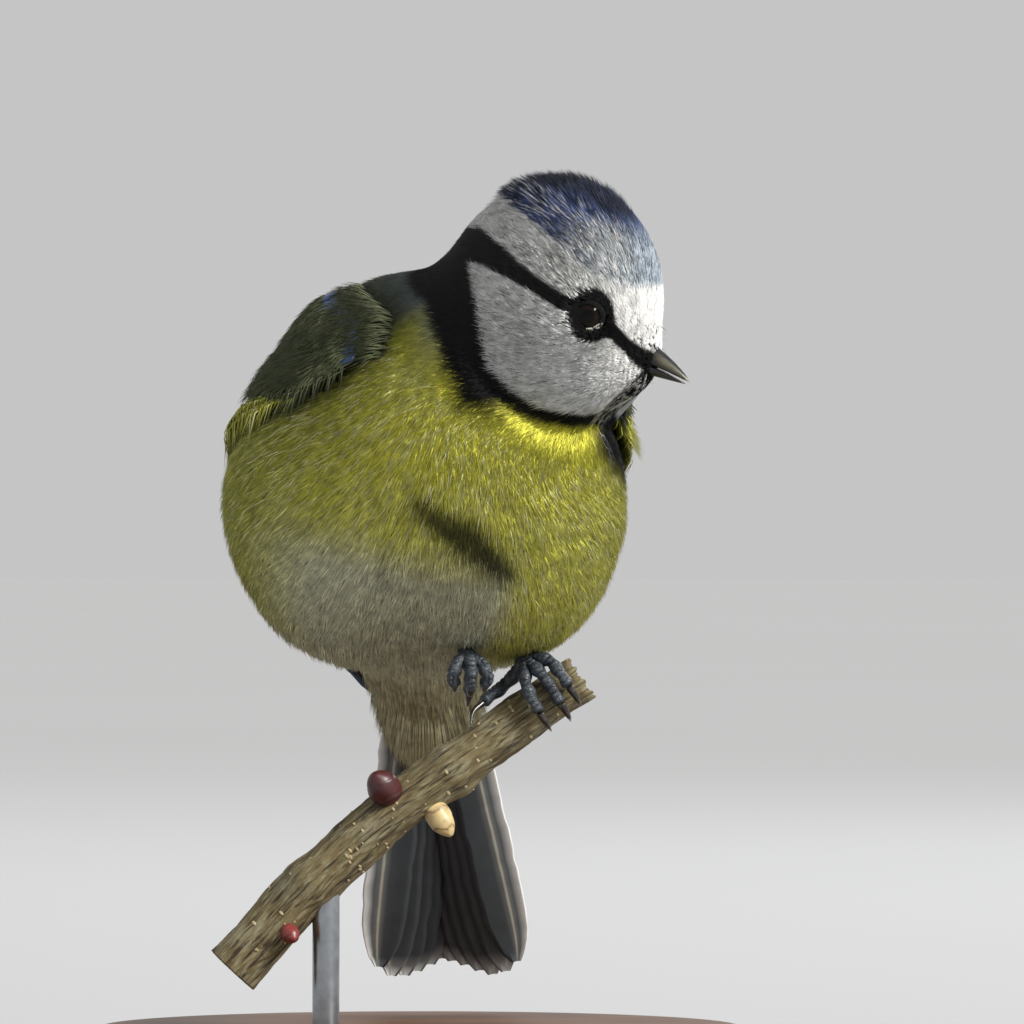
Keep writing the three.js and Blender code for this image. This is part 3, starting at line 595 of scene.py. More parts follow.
# %% Curves through points, and closed tubes round them
def curve_through(path, count):
    """Evenly spaced points on a centripetal Catmull-Rom curve through the path."""
    path = np.asarray(path, float)
    knots = np.vstack([2 * path[0] - path[1], path, 2 * path[-1] - path[-2]])
    t = np.linspace(0, 1, 13)[1:, None]
    dense = [path[:1]]
    for p0, p1, p2, p3 in zip(knots, knots[1:], knots[2:], knots[3:]):
        d0, d1, d2 = (max(np.linalg.norm(b - a) ** 0.5, 1e-4) for a, b in ((p0, p1), (p1, p2), (p2, p3)))
        leaving = ((p1 - p0) / d0 - (p2 - p0) / (d0 + d1) + (p2 - p1) / d1) * d1
        coming = ((p2 - p1) / d1 - (p3 - p1) / (d1 + d2) + (p3 - p2) / d2) * d1
        cubic = 2 * p1 - 2 * p2 + leaving + coming
        square = 3 * p2 - 3 * p1 - 2 * leaving - coming
        dense.append(p1 + leaving * t + square * t**2 + cubic * t**3)
    dense = np.vstack(dense)
    length = np.concatenate([[0], np.cumsum(np.linalg.norm(np.diff(dense, axis=0), axis=1))])
    even = np.linspace(0, length[-1], count)
    return np.array([np.interp(even, length, dense[:, k]) for k in range(3)]).T


def full_turn(sides):
    return np.linspace(0, 2 * pi, sides, endpoint=False)


def ways_round(turns, first, second):
    """Directions at these turns from the first direction to the second."""
    return np.cos(turns)[..., None] * first + np.sin(turns)[..., None] * second


def outward_faces(points, faces):
    a, b, c = points[faces].transpose(1, 0, 2)
    return faces if np.einsum("ij,ij", a, np.cross(b, c)) > 0 else faces[:, ::-1]


def walls(rings, rows, next_rows):
    """Triangles between each of these rings and its next one."""
    sides = rings.shape[1]
    here, there = np.arange(sides), (np.arange(sides) + 1) % sides
    a, b = rows[:, None] * sides + here, rows[:, None] * sides + there
    d, c = next_rows[:, None] * sides + here, next_rows[:, None] * sides + there
    return np.vstack([np.stack(corners, -1).reshape(-1, 3) for corners in ([a, b, c], [a, c, d])])


def closed_tube(rings):
    """Points and triangles of a tube through rings, closed at both ends."""
    count, sides, _ = rings.shape
    points = np.vstack([rings.reshape(-1, 3), rings[0].mean(0), rings[-1].mean(0)])
    here, there = np.arange(sides), (np.arange(sides) + 1) % sides
    start = np.stack([np.full(sides, count * sides), there, here], -1)
    last = (count - 1) * sides
    end = np.stack([np.full(sides, count * sides + 1), last + here, last + there], -1)
    rows = np.arange(count - 1)
    return points, outward_faces(points, np.vstack([walls(rings, rows, rows + 1), start, end]))


def with_ends(colours):
    """Colours for a closed tube, whose two end points take those of the first and last point."""
    return np.vstack([colours, colours[0], colours[-1]])


def joined(parts):
    """Several (points, faces, ...) in one, with further arrays carried along."""
    offsets = np.cumsum([0] + [len(part[0]) for part in parts[:-1]])
    faces = np.vstack([part[1] + offset for part, offset in zip(parts, offsets)])
    return (np.vstack([part[0] for part in parts]), faces, *map(np.concatenate, list(zip(*parts))[2:]))


print("a curve's points:", len(curve_through([(0, 0, 0), (1, 0, 0), (2, 1, 0)], 5)))

# %% One long feather
VANE_ACROSS = np.array([-1, -0.84, -0.6, -0.3, -0.09, 0, 0.09, 0.3, 0.6, 0.84, 1])
VANE_WIDTH = ([0, 0.12, 0.35, 0.8, 0.93, 0.98, 1], [0.42, 0.74, 1, 1, 0.76, 0.42, 0.2])
VANE_THICK, SHAFT_THICK = 0.1, 0.2


def vane(root, tip, half, level, tilt=0.0, camber=0.1, shaft_at=0.0, steps=22, seed=0):
    """A closed feather in the plane of x (along) and y (across); also where each point lies on the vane."""
    root, tip = np.array(root, float), np.array(tip, float)
    length = np.linalg.norm(tip - root)
    x_axis = (tip - root) / length
    y_axis = np.array([-x_axis[1], x_axis[0]])
    t = np.linspace(0, 1, steps)
    draw = np.random.default_rng(seed)
    ragged = 1 + 0.035 * draw.normal(size=(steps, 2))
    side = np.concatenate([VANE_ACROSS, VANE_ACROSS[-2:0:-1]])
    whole = np.ones(len(side))
    face = np.where(np.arange(len(side)) < len(VANE_ACROSS), 1.0, -1.0)
    rings, webs = [], []
    for i, s in enumerate(t):
        half_here = half * np.interp(s, *VANE_WIDTH)
        across = VANE_ACROSS + shaft_at * (1 - VANE_ACROSS**2)
        y = half_here * across * np.where(VANE_ACROSS < 0, ragged[i, 0], ragged[i, 1])
        shaft = np.exp(-((VANE_ACROSS / 0.1) ** 2)) * (1 - 0.75 * s)
        top = camber * half * (1 - VANE_ACROSS**2) + tilt * y
        place = np.full(len(y), s)
        upper = np.stack([place, y, level + top + shaft * SHAFT_THICK / 2 + VANE_THICK], 1)
        lower = np.stack([place, y, level + top - shaft * SHAFT_THICK / 2], 1)
        upper[[0, -1], 2] = lower[[0, -1], 2] = (level + top + VANE_THICK / 2)[[0, -1]]
        rings.append(np.vstack([upper, lower[-2:0:-1]]))
        y_round = np.concatenate([y, y[-2:0:-1]])
        webs.append(np.stack([s * whole, side, face, s * length * whole, y_round], 1))
    rings, webs = np.array(rings), np.array(webs)
    flat = root + rings[..., :1] * length * x_axis + rings[..., 1:2] * y_axis
    points, faces = closed_tube(np.concatenate([flat, rings[..., 2:]], axis=-1))
    web = np.vstack([webs.reshape(-1, 5), webs[0].mean(0), webs[-1].mean(0)])
    return points, faces, web


def with_colours(made, painter):
    points, faces, web = made
    return points, faces, painter(*web[:, :3].T), web[:, 3:]


print("points in a feather:", len(vane((0, 0), (10, 0), 2, 0)[0]))

# %% [markdown]
# The vane's paint draws the barbs: fine lines that run from the shaft out and towards the tip. They follow
# the feather, so they are drawn from each point's own place along and across it, stored in the mesh, and
# they only raise the surface a little and shade it, as real barbs do.

# %% Paint for long feathers
BARB_SPACING = 0.3


def vane_paint(name, roughness):
    paint = Paint(name, roughness, Specular_IOR_Level=0.35, Sheen_Weight=0.05)
    web = paint.node("ShaderNodeSeparateXYZ", Vector=paint.attribute("web", "Vector"))
    outwards = paint.maths("ABSOLUTE", web.outputs["Y"])
    along = paint.maths("SUBTRACT", web.outputs["X"], paint.maths("MULTIPLY", outwards, 1.1))
    wobble = paint.maths("MULTIPLY", paint.noise(700, 2), 0.25)
    phase = paint.maths("MULTIPLY", paint.maths("ADD", along, wobble), 2 * pi / BARB_SPACING)
    barbs = paint.maths("MULTIPLY_ADD", paint.maths("SINE", phase), 0.5)
    barbs = paint.maths("ADD", barbs, 0.5)
    own = paint.grained(paint.attribute("plumage"), barbs, (0.0, 0.8), (1.0, 1.06))
    paint.colour(paint.grained(own, paint.noise(420, 3), (0.3, 0.86), (0.7, 1.1)))
    paint.bump(barbs, 0.35, 0.00005)
    return paint


def feather_piece(name, parts, paint, slot, replaced):
    points, faces, colours, web = joined(parts)
    piece = mesh_piece(name, points, faces, paint, slot, replaced, colours)
    add_vectors(piece.data, "web", np.column_stack([web, np.zeros(len(web))]))
    print(name, len(faces), "triangles")
    return piece


wing_paint = vane_paint("wing_vanes", 0.5)
tail_paint = vane_paint("tail_vanes", 0.55)
print("paints:", wing_paint.material.name, tail_paint.material.name)

# %% [markdown]
# ### Tail
# Twelve tail feathers lie in a stack, with the middle pair on the back and each outer pair one step nearer
# the belly. Seen from below they are grey with pale shafts, and the outermost has a white outer edge.

# %% Tail feathers
TAIL_LENGTH, TAIL_SPREAD, RECTRIX_HALF = 49, 8, 2.7
PAIR_SHORT = [1.5, 0.9, 0.3, 0, 0.3, 1.4]
TAIL_BLUE, TAIL_GREY, SHAFT_PALE = linears("41618a 626a6e cfccbe")
TAIL_DARK = linear("23272d")


def tail_painter(side, pair):
    def painter(along, across, face):
        outer = across * side
        inner = ease(0.1, -0.4, outer) * (0.25 if pair == 0 else 1)
        dorsal = laid(plain(TAIL_BLUE, along), TAIL_DARK, inner)
        ventral = laid(plain(TAIL_GREY, along), TAIL_DARK, 0.75 * ease(0.7, -0.6, outer))
        colours = np.where(face[:, None] > 0, dorsal, ventral)
        if pair == TAIL_PAIRS - 1:
            colours = laid(colours, WHITE, ease(0.45, 0.7, outer) * 0.75)
        else:
            colours = laid(colours, WHITE, ease(0.86, 1.0, outer) * 0.35 + ease(0.95, 1, along) * 0.4)
        shaft = np.exp(-((across / 0.07) ** 2))
        return laid(colours, SHAFT_PALE, shaft * np.where(face > 0, 0.15, 0.8))

    return painter


TAIL_PAIRS = 6
draw = np.random.default_rng(3)
rectrices = []
for side in (1, -1):
    for pair in range(TAIL_PAIRS):
        angle = radians(side * TAIL_SPREAD * (pair + 0.4) / (TAIL_PAIRS - 0.6))
        length = TAIL_LENGTH - PAIR_SHORT[pair] - 0.4 * draw.random()
        root = np.array([3 + draw.random(), side * pair * 0.25 + 0.2 * draw.random()])
        tip = root * (0, 1) + length * np.array([cos(angle), sin(angle)])
        level = 1.45 - 0.4 * pair - (0.2 if side > 0 else 0)
        made = vane(root, tip, RECTRIX_HALF, level, camber=0.07, shaft_at=side * 0.28, steps=34, seed=pair)
        points, *rest = with_colours(made, tail_painter(side, pair))
        rectrices.append((TAIL_ROOT + points @ np.array([TAIL_DOWN, TAIL_ACROSS, TAIL_BACK]), *rest))
feather_piece("tail_feathers", rectrices, tail_paint, "tail_plumage", ("tail",))

# %% [markdown]
# ### Wings
# A folded wing lies on the flank like a sheet, then leaves the body and runs straight to its tip. We lay
# that sheet from the body's outline: rays go out round the body's middle, and where the wing tip draws the
# sheet tight it leaves the skin. Each feather is made flat and then bent onto this sheet.

# %% The sheet that a folded wing lies on
WING_LENGTH, SHEET_LIFT, SHEET_HALF, SHEET_STEP, SHEET_RAYS = 62, 0.56, 13.5, 1.5, 36
SHEET_LINES = np.arange(-SHEET_HALF, SHEET_HALF + 0.01, SHEET_STEP)


def wing_sheet(side):
    wrist = BODY_CENTRE + 7.6 * BODY_FRONT + side * 13.4 * BODY_LEFT + 12.5 * BODY_UP
    tip = TAIL_ROOT + 17 * TAIL_DOWN + 5 * TAIL_BACK + side * 4.6 * TAIL_ACROSS
    run = unit(tip - wrist)
    out = at_right_angles(-0.63 * BODY_FRONT + 0.77 * side * BODY_LEFT - 0.12 * BODY_UP, run)
    across = -side * np.cross(run, out)
    first = np.arctan2((wrist - BODY_CENTRE) @ run, (wrist - BODY_CENTRE) @ out)
    angles = first + np.radians(np.arange(SHEET_RAYS) * 4.5 - 5)[:, None]
    rays = np.cos(angles) * out + np.sin(angles) * run
    lines = []
    for c in SHEET_LINES:
        axis, target = BODY_CENTRE + c * across, tip + (c - (tip - BODY_CENTRE) @ across) * across
        reach = np.full(SHEET_RAYS, 36.0)
        for _ in range(60):
            over = outline(axis + rays * reach[:, None], TRUNK_EGGS) - SHEET_LIFT
            reach = np.where(reach > 6, reach - np.maximum(0, over) * 0.8, reach)
        on_body = axis + rays * reach[:, None]
        down = on_body - target
        leave = int(np.argmax(np.arctan2(down @ out, np.maximum(0.01, -down @ run))))
        lines.append(curve_through(np.vstack([on_body[: leave + 1], target]), WING_LENGTH + 1))
    grid = np.array(lines)
    normals = unit(np.cross(np.gradient(grid, axis=1), np.gradient(grid, axis=0)))
    inward = np.einsum("ijk,ijk->ij", normals, grid - BODY_CENTRE) < 0
    normals[inward] *= -1
    return grid, normals


def on_sheet(sheet, points):
    """Flat feather points (along, across, height) bent onto the wing's sheet."""
    grid, normals = sheet
    along, across, height = points.T
    c = np.clip((across + SHEET_HALF) / SHEET_STEP, 0, len(SHEET_LINES) - 1.001)
    s = np.clip(along, 0, WING_LENGTH - 0.001)
    ci, si = c.astype(int), s.astype(int)
    cf, sf = (c - ci)[:, None], (s - si)[:, None]

    def between(values):
        near = values[ci, si] * (1 - sf) + values[ci, si + 1] * sf
        far = values[ci + 1, si] * (1 - sf) + values[ci + 1, si + 1] * sf
        return near * (1 - cf) + far * cf

    ahead = unit(between(np.gradient(grid, axis=1)))
    return between(grid) + unit(between(normals)) * height[:, None] + ahead * (along - s)[:, None]


sheets = {side: wing_sheet(side) for side in (1, -1)}
print("wing sheet runs to", sheets[-1][0][9, -1].round(1))

# %% [markdown]
# The rows of a wing overlap like slates. Long primaries and secondaries lie lowest, then the tertials, and
# the coverts cover their roots in rows that get smaller towards the wrist. White tips on the greater
# coverts make the pale bar of this species.

# %% Wing feathers
WING_BLUE, WING_DARK, WING_EDGE = linears("3a5272 15171c 6f87a3")
COVERT_BLUE, TERTIAL_GREY, BAR_WHITE = linears("365079 4d5a6b d9dac6")


def flight_painter(along, across, face):
    colours = laid(plain(WING_DARK, along), WING_BLUE, ease(-0.15, -0.4, across))
    colours = laid(colours, WING_EDGE, ease(-0.72, -0.95, across) * 0.8)
    return laid(colours, BLACK, np.exp(-((across / 0.08) ** 2)) * 0.7)


def tertial_painter(along, across, face):
    colours = laid(plain(WING_DARK, along), TERTIAL_GREY, ease(0.2, -0.5, across))
    return laid(colours, BAR_WHITE, ease(0.9, 0.98, along) * 0.8)


def bar_painter(along, across, face):
    colours = laid(plain(COVERT_BLUE, along), WING_DARK, ease(0.1, 0.7, across) * 0.7)
    return laid(colours, BAR_WHITE, ease(0.8, 0.9, along) * 0.9)


def covert_painter(along, across, face):
    colours = laid(plain(COVERT_BLUE, along), WING_DARK, ease(0.5, 0.0, along) * 0.6)
    return laid(colours, WING_EDGE, ease(0.8, 1.0, along) * 0.3)


# count, roots of the first and last, tips of the first and last, bow of the tips, half width, level
WING_ROWS = [
    (8, ((16, -7.4), (17, -3.6)), ((56, -8.2), (53, -3.4)), 7.4, 1.9, 0.40, flight_painter),
    (6, ((12, -4.4), (13, 3.2)), ((47, -3.2), (41, 2.6)), 0.8, 2.1, 0.60, flight_painter),
    (3, ((11, 3), (12, 5.6)), ((38, 4.2), (30, 7.4)), 0.6, 2.4, 0.80, tertial_painter),
    (3, ((5, -7.8), (5.5, -6.4)), ((18, -9.2), (15, -7.6)), 0, 1.2, 0.60, flight_painter),
    (9, ((7, -7), (9, 5)), ((20, -8), (22, 7.2)), 1.6, 1.7, 0.85, bar_painter),
    (8, ((3.5, -5.8), (6.5, 2.6)), ((12.4, -6.8), (14, 4.6)), 1.2, 1.6, 1.0, covert_painter),
    (6, ((1.6, -5.0), (4.4, 1.4)), ((8.6, -5.6), (10.4, 3)), 1.0, 1.4, 1.14, covert_painter),
    (5, ((0.4, -4.2), (2.4, -0.2)), ((5.2, -4.8), (6.8, 1.2)), 0.8, 1.3, 1.26, covert_painter),
]
WING_TILT = -0.16


def wing_feathers(side):
    draw = np.random.default_rng(7)
    pad = vane((2.5, -2.2), (37, -0.6), 7.0, 0.12, camber=0.02, steps=26, seed=1)
    parts = [with_colours(pad, lambda a, c, f: plain(WING_DARK, a))]
    for count, roots, tips, bow, half, level, painter in WING_ROWS:
        for i in range(count):
            t = i / (count - 1)
            root, tip = (np.array(ends[0]) * (1 - t) + np.array(ends[1]) * t for ends in (roots, tips))
            tip[0] += bow * sin(pi * t) + 0.5 * (draw.random() - 0.5)
            made = vane(root, tip, half, level + 0.03 * i, WING_TILT, 0.08, -0.3, seed=10 * count + i)
            parts.append(with_colours(made, painter))
    bent = []
    for points, faces, colours, web in parts:
        laid_out = on_sheet(sheets[side], points)
        bent.append((laid_out, outward_faces(laid_out, faces), colours, web))
    return bent


wings = [
    feather_piece("wing_feathers_" + word, wing_feathers(side), wing_paint, "wing_plumage", ("wing_" + word,))
    for word, side in (("left", 1), ("right", -1))
]

# %% [markdown]
# ## Bill, eyes and lids
# The bill is two halves that taper to the tip. Horn has a soft gloss and a fine grain, and looks paler where
# it is thin, so we keep the shape smooth and paint a pale patch on each side and at the tip.

# %% Bill
BILL_LENGTH, BILL_ROOT, BILL_HALF_WIDTH = 7.0, 2.6, 1.8
BILL_HALVES = {"bill_upper": (1, 2.5, BILL_LENGTH), "bill_lower": (-1, 1.5, BILL_LENGTH - 0.4)}
BILL_BLACK, BILL_HORN, BILL_TIP = linears("0f0f11 5c5846 a8a496")
bill_paint = Paint("bill_horn", 0.34, Coat_Weight=0.15, Coat_Roughness=0.2, Specular_IOR_Level=0.35)
horn_lines = bill_paint.noise(1500, 4)
bill_paint.colour(bill_paint.grained(bill_paint.attribute("plumage"), horn_lines, (0.3, 0.8), (0.7, 1.15)))
bill_paint.roughness(bill_paint.ramp(bill_paint.noise(2600, 3), (0.3, 0.28), (0.75, 0.5)))
bill_paint.bump(horn_lines, 0.25, 0.00004)


def bill_half(sign, depth, length, steps=34, sides=26):
    root = head_place(BILL_AHEAD - BILL_ROOT, 0, BILL_LEVEL)
    t = np.linspace(0, 1, steps)[:, None]
    turn = np.linspace(0, pi, sides)[None]
    taper = 0.05 + 0.95 * (1 - t**1.6) ** 0.75
    rise = depth * (0.05 + 0.95 * (1 - t**1.7) ** (0.85 if sign > 0 else 1))
    ridge = 1 + 0.06 * np.exp(-(((turn - pi / 2) / 0.35) ** 2)) * (sign > 0)
    level = sign * (rise * np.sin(turn) ** 0.8 * ridge + 0.15) - 0.55 * t**2
    width = BILL_HALF_WIDTH * taper * np.cos(turn)
    total = length + BILL_ROOT
    along = (t * total + 0 * turn)[..., None] * HEAD_FRONT
    rings = root + along + width[..., None] * HEAD_RIGHT + level[..., None] * HEAD_UP
    on_side = np.exp(-(((np.abs(turn - pi / 2) - 1.05) / 0.3) ** 2))
    horn = (ease(0.5, 0.66, t) * ease(1.0, 0.88, t) * on_side * (0.85 if sign > 0 else 0.2)).ravel()
    colours = laid(plain(BILL_BLACK, horn), BILL_HORN, horn)
    tip = (ease(0.93, 1, t) + 0 * turn).ravel()
    colours = laid(colours, BILL_TIP, tip * 0.7)
    points, faces = closed_tube(rings)
    return points, faces, with_ends(colours)


for name, half in BILL_HALVES.items():
    points, faces, colours = bill_half(*half)
    mesh_piece(name + "_horn", points, faces, bill_paint, "bill_horn", (name,), colours)
    print(name, "reaches", (points @ HEAD_FRONT).max().round(1))

# %% [markdown]
# A small bird's eye is a wet ball, nearly black, with a dark brown iris round the pupil. Depth comes from
# a clear coat over the colour, and from lids that stand over the ball's edge, so the eye seems set in.
# The ball and the lids are both turned round the line of sight, with the angle from it as the main size.

# %% Eyes and lids
EYE_STEPS, EYE_SIDES = 60, 72
EYE_BLACK, IRIS_BROWN = linears("020202 140b06")
LID_DARK, LID_FLECK = linears("08090a b9b8ac")
eye_paint = Paint("eye_wet", 0.35, Coat_Weight=0.3, Coat_Roughness=0.02, Specular_IOR_Level=0.0)
iris_grain = eye_paint.noise(5200, 3)
eye_paint.colour(eye_paint.grained(eye_paint.attribute("plumage"), iris_grain, (0.3, 0.7), (0.7, 1.3)))
lid_paint = Paint("lid_skin", 0.75, Specular_IOR_Level=0.1)
flecks = lid_paint.ramp(lid_paint.noise(4200, 2), (0.46, 0.0), (0.52, 1.0))
lid_paint.colour(lid_paint.mix(flecks, lid_paint.attribute("plumage"), LID_DARK))
lid_paint.bump(lid_paint.noise(5000, 2), 0.5, 0.0001)
LID_PROFILE = [(38, 2.11), (39, 2.2), (43, 2.26), (49, 2.28), (58, 2.2), (68, 2.05), (58, 1.9), (44, 2.0)]


def round_the_gaze(side, angles, radii, turns):
    """Rings round the line of sight: one ring for each turn, one point for each angle and radius."""
    centre, gaze = EYES[side]
    along = at_right_angles(HEAD_FRONT, gaze)
    up = np.cross(gaze, along) * side
    return centre + radii[..., None] * ways_round(angles, gaze, ways_round(turns[:, None], along, up))


def eyeball(side):
    angles = np.radians(np.linspace(2, 178, EYE_STEPS))[None]
    turns = full_turn(EYE_SIDES)
    rings = round_the_gaze(side, angles, np.full((1, EYE_STEPS), EYE_RADIUS), turns).transpose(1, 0, 2)
    iris = (ease(20, 24, np.degrees(angles)) * ease(36, 33, np.degrees(angles)))[0]
    colours = laid(plain(EYE_BLACK, iris), IRIS_BROWN, iris * 0.8).repeat(EYE_SIDES, axis=0)
    points, faces = closed_tube(rings)
    return points, faces, with_ends(colours)


def lids(side):
    turns = full_turn(96)
    profile = np.array(LID_PROFILE)
    corner = 3.5 * np.abs(np.cos(turns)) ** 3 - 1.5 * np.abs(np.sin(turns))
    angles = np.radians(profile[:, 0] + corner[:, None])
    folds = 0.03 * np.sin(turns * 23)[:, None] * (profile[:, 1] > 2.2)
    rings = round_the_gaze(side, angles, profile[:, 1] + folds, turns)
    points, faces = closed_ring(rings)
    lower = ease(0.1, -0.5, np.sin(turns))[:, None] * (profile[:, 0] < 52) * 0.9
    return points, faces, laid(plain(LID_DARK, points), LID_FLECK, lower.ravel())


def closed_ring(rings):
    """Points and triangles of a hoop: rings that close on themselves, joined end to start."""
    rows = np.arange(len(rings))
    points = rings.reshape(-1, 3)
    return points, outward_faces(points, walls(rings, rows, np.roll(rows, -1)))


for side, word in ((1, "right"), (-1, "left")):
    points, faces, colours = eyeball(side)
    mesh_piece("eyeball_" + word, points, faces, eye_paint, "eye", ("eye_" + word,), colours)
    points, faces, colours = lids(side)
    mesh_piece("lids_" + word, points, faces, lid_paint, "head_plumage", colours=colours)
print("lids open", round(2 * EYE_RADIUS * sin(radians(37)), 2), "mm")

# %% [markdown]
# ## Coat
# The coat is what makes the bird. Each tuft is a handful of barbs from one foot on the skin, and each barb
# is a thin closed sliver of six triangles, bent once: its foot sits in the skin, its middle rises through
# the coat, and its tip lies on the outline. Barbs follow the lie of the feathers, from the bill back over
# the head and down the body to the tail. First, which way they lie and how long they are.

# %% Lie and length of the feathers
def lie(points, normals):
    azimuth, up = body_angles(points)
    backwards = unit(points - BILL_BASE - 1.5 * HEAD_FRONT)
    low = ease(-2, -15, up)[:, None]
    down = unit(-BODY_UP * (1 - low) + (TAIL_DOWN + 0.1 * TAIL_BACK) * low)
    off_front = np.abs(azimuth)
    sideways = np.sign(azimuth) * ease(4, 50, off_front) * ease(104, 80, off_front) * (1 - low[:, 0])
    down = unit(down + BODY_LEFT * (0.55 * sideways)[:, None])
    far = ease(12.5, 22, from_head(points))[:, None]
    way = backwards * (1 - far) + down * far
    way = way - normals * np.sum(way * normals, axis=1, keepdims=True)
    for centre, gaze in EYES.values():
        from_eye = off_gaze(points - centre, gaze)
        reach = np.linalg.norm(from_eye, axis=1)
        rim = from_eye / reach[:, None]
        towards = np.minimum(np.sum(way * rim, axis=1), 0) * ease(6, 2.4, reach)
        near = np.linalg.norm(points - centre, axis=1) < 7
        way = way - rim * (1.15 * towards * near)[:, None]
    return unit(way)


def feather_length(points):
    length = 0.9 + 2.4 * ease(2, 11, from_bill(points)) + 1.3 * ease(13, 25, from_head(points))
    length = length + 2.2 * ease(-10, -22, body_angles(points)[1])
    blunt = ease(0.45, 0.72, outward(points) @ TAIL_DOWN) * ease(9, 13, (points - TAIL_ROOT) @ TAIL_DOWN)
    return length * (1 - 0.5 * blunt) * (0.5 + 0.5 * ease(1.3, 5, from_eyes(points)))


print("longest feather:", feather_length(skin_points).max().round(2), "mm")

# %% [markdown]
# Roots are spread by walking along the skin's triangles in steps of equal "feather weight", which is area
# times how dense the plumage is there. A walk in even steps leaves no bald spots, as pure chance would.
# No tuft grows in the eye or under the bill. The ones under a wing are only counted here, and sorted next.

# %% Roots of the tufts
TUFTS_BODY, TUFTS_HEAD, TUFTS_FACE = 5.6, 12.0, 17.0
BARE_ROUND_EYE, BARE_UNDER_BILL = 1.62, 1.7
WING_REACH = 5.2
draw = np.random.default_rng(11)


def tufts_per_area(points):
    head = TUFTS_FACE + (TUFTS_HEAD - TUFTS_FACE) * ease(6, 14, from_bill(points))
    return head + (TUFTS_BODY - head) * ease(14, 20, from_head(points))


def spread_roots():
    a, b, c = triangle_points.transpose(1, 0, 2)
    area = 0.5 * np.linalg.norm(np.cross(b - a, c - a), axis=1)
    weight = np.cumsum(area * tufts_per_area((a + b + c) / 3))
    steps = np.arange(int(weight[-1])) + draw.random(int(weight[-1]))
    chosen = np.minimum(np.searchsorted(weight, steps), len(weight) - 1)
    u, v = np.sqrt(draw.random(len(chosen))), draw.random(len(chosen))
    share = np.stack([1 - u, u * (1 - v), u * v], 1)[..., None]
    return (triangle_points[chosen] * share).sum(1), (triangle_uv[chosen] * share).sum(1)


def open_place(points):
    """False in the eyes, under the bill and on the blunt end that the tail grows from."""
    keep = np.linalg.norm(points - BILL_BASE + 0.4 * HEAD_FRONT, axis=1) > BARE_UNDER_BILL
    along_tail = (points - TAIL_ROOT) @ TAIL_DOWN
    keep &= (along_tail < 17.5) & ((outward(points) @ TAIL_DOWN < 0.72) | (along_tail < 13))
    for centre, gaze in EYES.values():
        from_eye = points - centre
        across = np.linalg.norm(off_gaze(from_eye, gaze), axis=1)
        keep &= (across > BARE_ROUND_EYE) | (from_eye @ gaze < 0)
    return keep


def wing_tree(piece):
    mesh = piece.data
    points = [v.co for v in mesh.vertices]
    return BVHTree.FromPolygons(points, [p.vertices[:] for p in mesh.polygons])


wing_trees = [wing_tree(piece) for piece in wings]


def wing_height(points, directions, above=6.0):
    """How far a wing's outer face lies over each point, and 0 where no wing does."""
    height = np.zeros(len(points))
    for i in np.flatnonzero(np.linalg.norm(points - BODY_CENTRE, axis=1) < 40):
        start, way = Vector((points[i] + above * directions[i]) * MM), Vector(-directions[i])
        for tree in wing_trees:
            reach = tree.ray_cast(start, way, above * MM)[3]
            if reach is not None:
                height[i] = max(height[i], above - reach / MM)
    return height


roots, root_uv = spread_roots()
keep = open_place(roots)
roots, root_uv = roots[keep], root_uv[keep]
normals = outward(roots)
ways = lie(roots, normals)
lengths = feather_length(roots)
tips = roots + ways * lengths[:, None] - normals * 0.4
root_height, tip_height = wing_height(roots, normals), wing_height(tips, normals)
covered = root_height > 0
tip_height[tip_height > WING_REACH] = 0
print("tufts:", len(roots), "under the wings:", covered.sum())

# %% [markdown]
# The feathers of the shoulder lie over the wing's roots, and those of the flank close over its lower edge.
# We find where each covered root lies on its wing's sheet, and let the ones beyond these two edges grow
# over the wing in place of under it. The other covered roots grow nothing.

# %% Feathers that lie over the wings
SHOULDER_EDGE = {
    1: ([0, 8, 16, 24], [-3.5, -0.5, 2.5, 8]),
    -1: ([0, 9, 14, 20, 26], [-9.5, -9, -3.4, 1.5, 7]),
}
FLANK_EDGE = {1: ([0, 6, 20, 34], [-6, -7, -8, -9.5]), -1: ([0, 6, 20, 34], [-9.5, -8.6, -7.6, -9])}


def over_the_wing(points, side):
    """1 for places on the shoulder's side of a wing, 2 on the flank's side, 0 between."""
    grid = sheets[side][0].reshape(-1, 3)
    nearest = np.array([np.argmin(((grid - point) ** 2).sum(1)) for point in points])
    across, along = SHEET_LINES[nearest // (WING_LENGTH + 1)], nearest % (WING_LENGTH + 1)
    shoulder = (across > np.interp(along, *SHOULDER_EDGE[side])) | (along < 3)
    flank = across < np.interp(along, *FLANK_EDGE[side])
    return np.where(along > 27, 0, np.where(flank, 2, np.where(shoulder, 1, 0)))


part = np.zeros(len(roots), int)
for side in (1, -1):
    mine = np.flatnonzero(covered & (np.sign((roots - BODY_CENTRE) @ BODY_LEFT) == side))
    part[mine] = over_the_wing(roots[mine], side)
keep = ~covered | ((part > 0) & (root_height < WING_REACH))
on_top = (tip_height > 0) & ~covered & (body_angles(roots)[1] > 3)
shoulder = ((part == 1) | on_top).astype(float)
growing = (roots, root_uv, normals, ways, lengths, root_height, tip_height, shoulder)
growing = [values[keep] for values in growing]
roots, root_uv, normals, ways, lengths, root_height, tip_height, shoulder = growing
print("tufts grown:", len(roots), "over the wings:", (root_height > 0).sum())

# %% [markdown]
# Every tuft takes its own shade, and every barb a little of its own on top. On the cap some tufts are
# nearly black and some nearly white, which gives the streaks that the real crest shows. On the cheeks and
# other pale parts of the head some barbs are dark grey: painted shade for the dark gaps between white barbs.
# Barbs darken towards the foot, because light doesn't get down there.

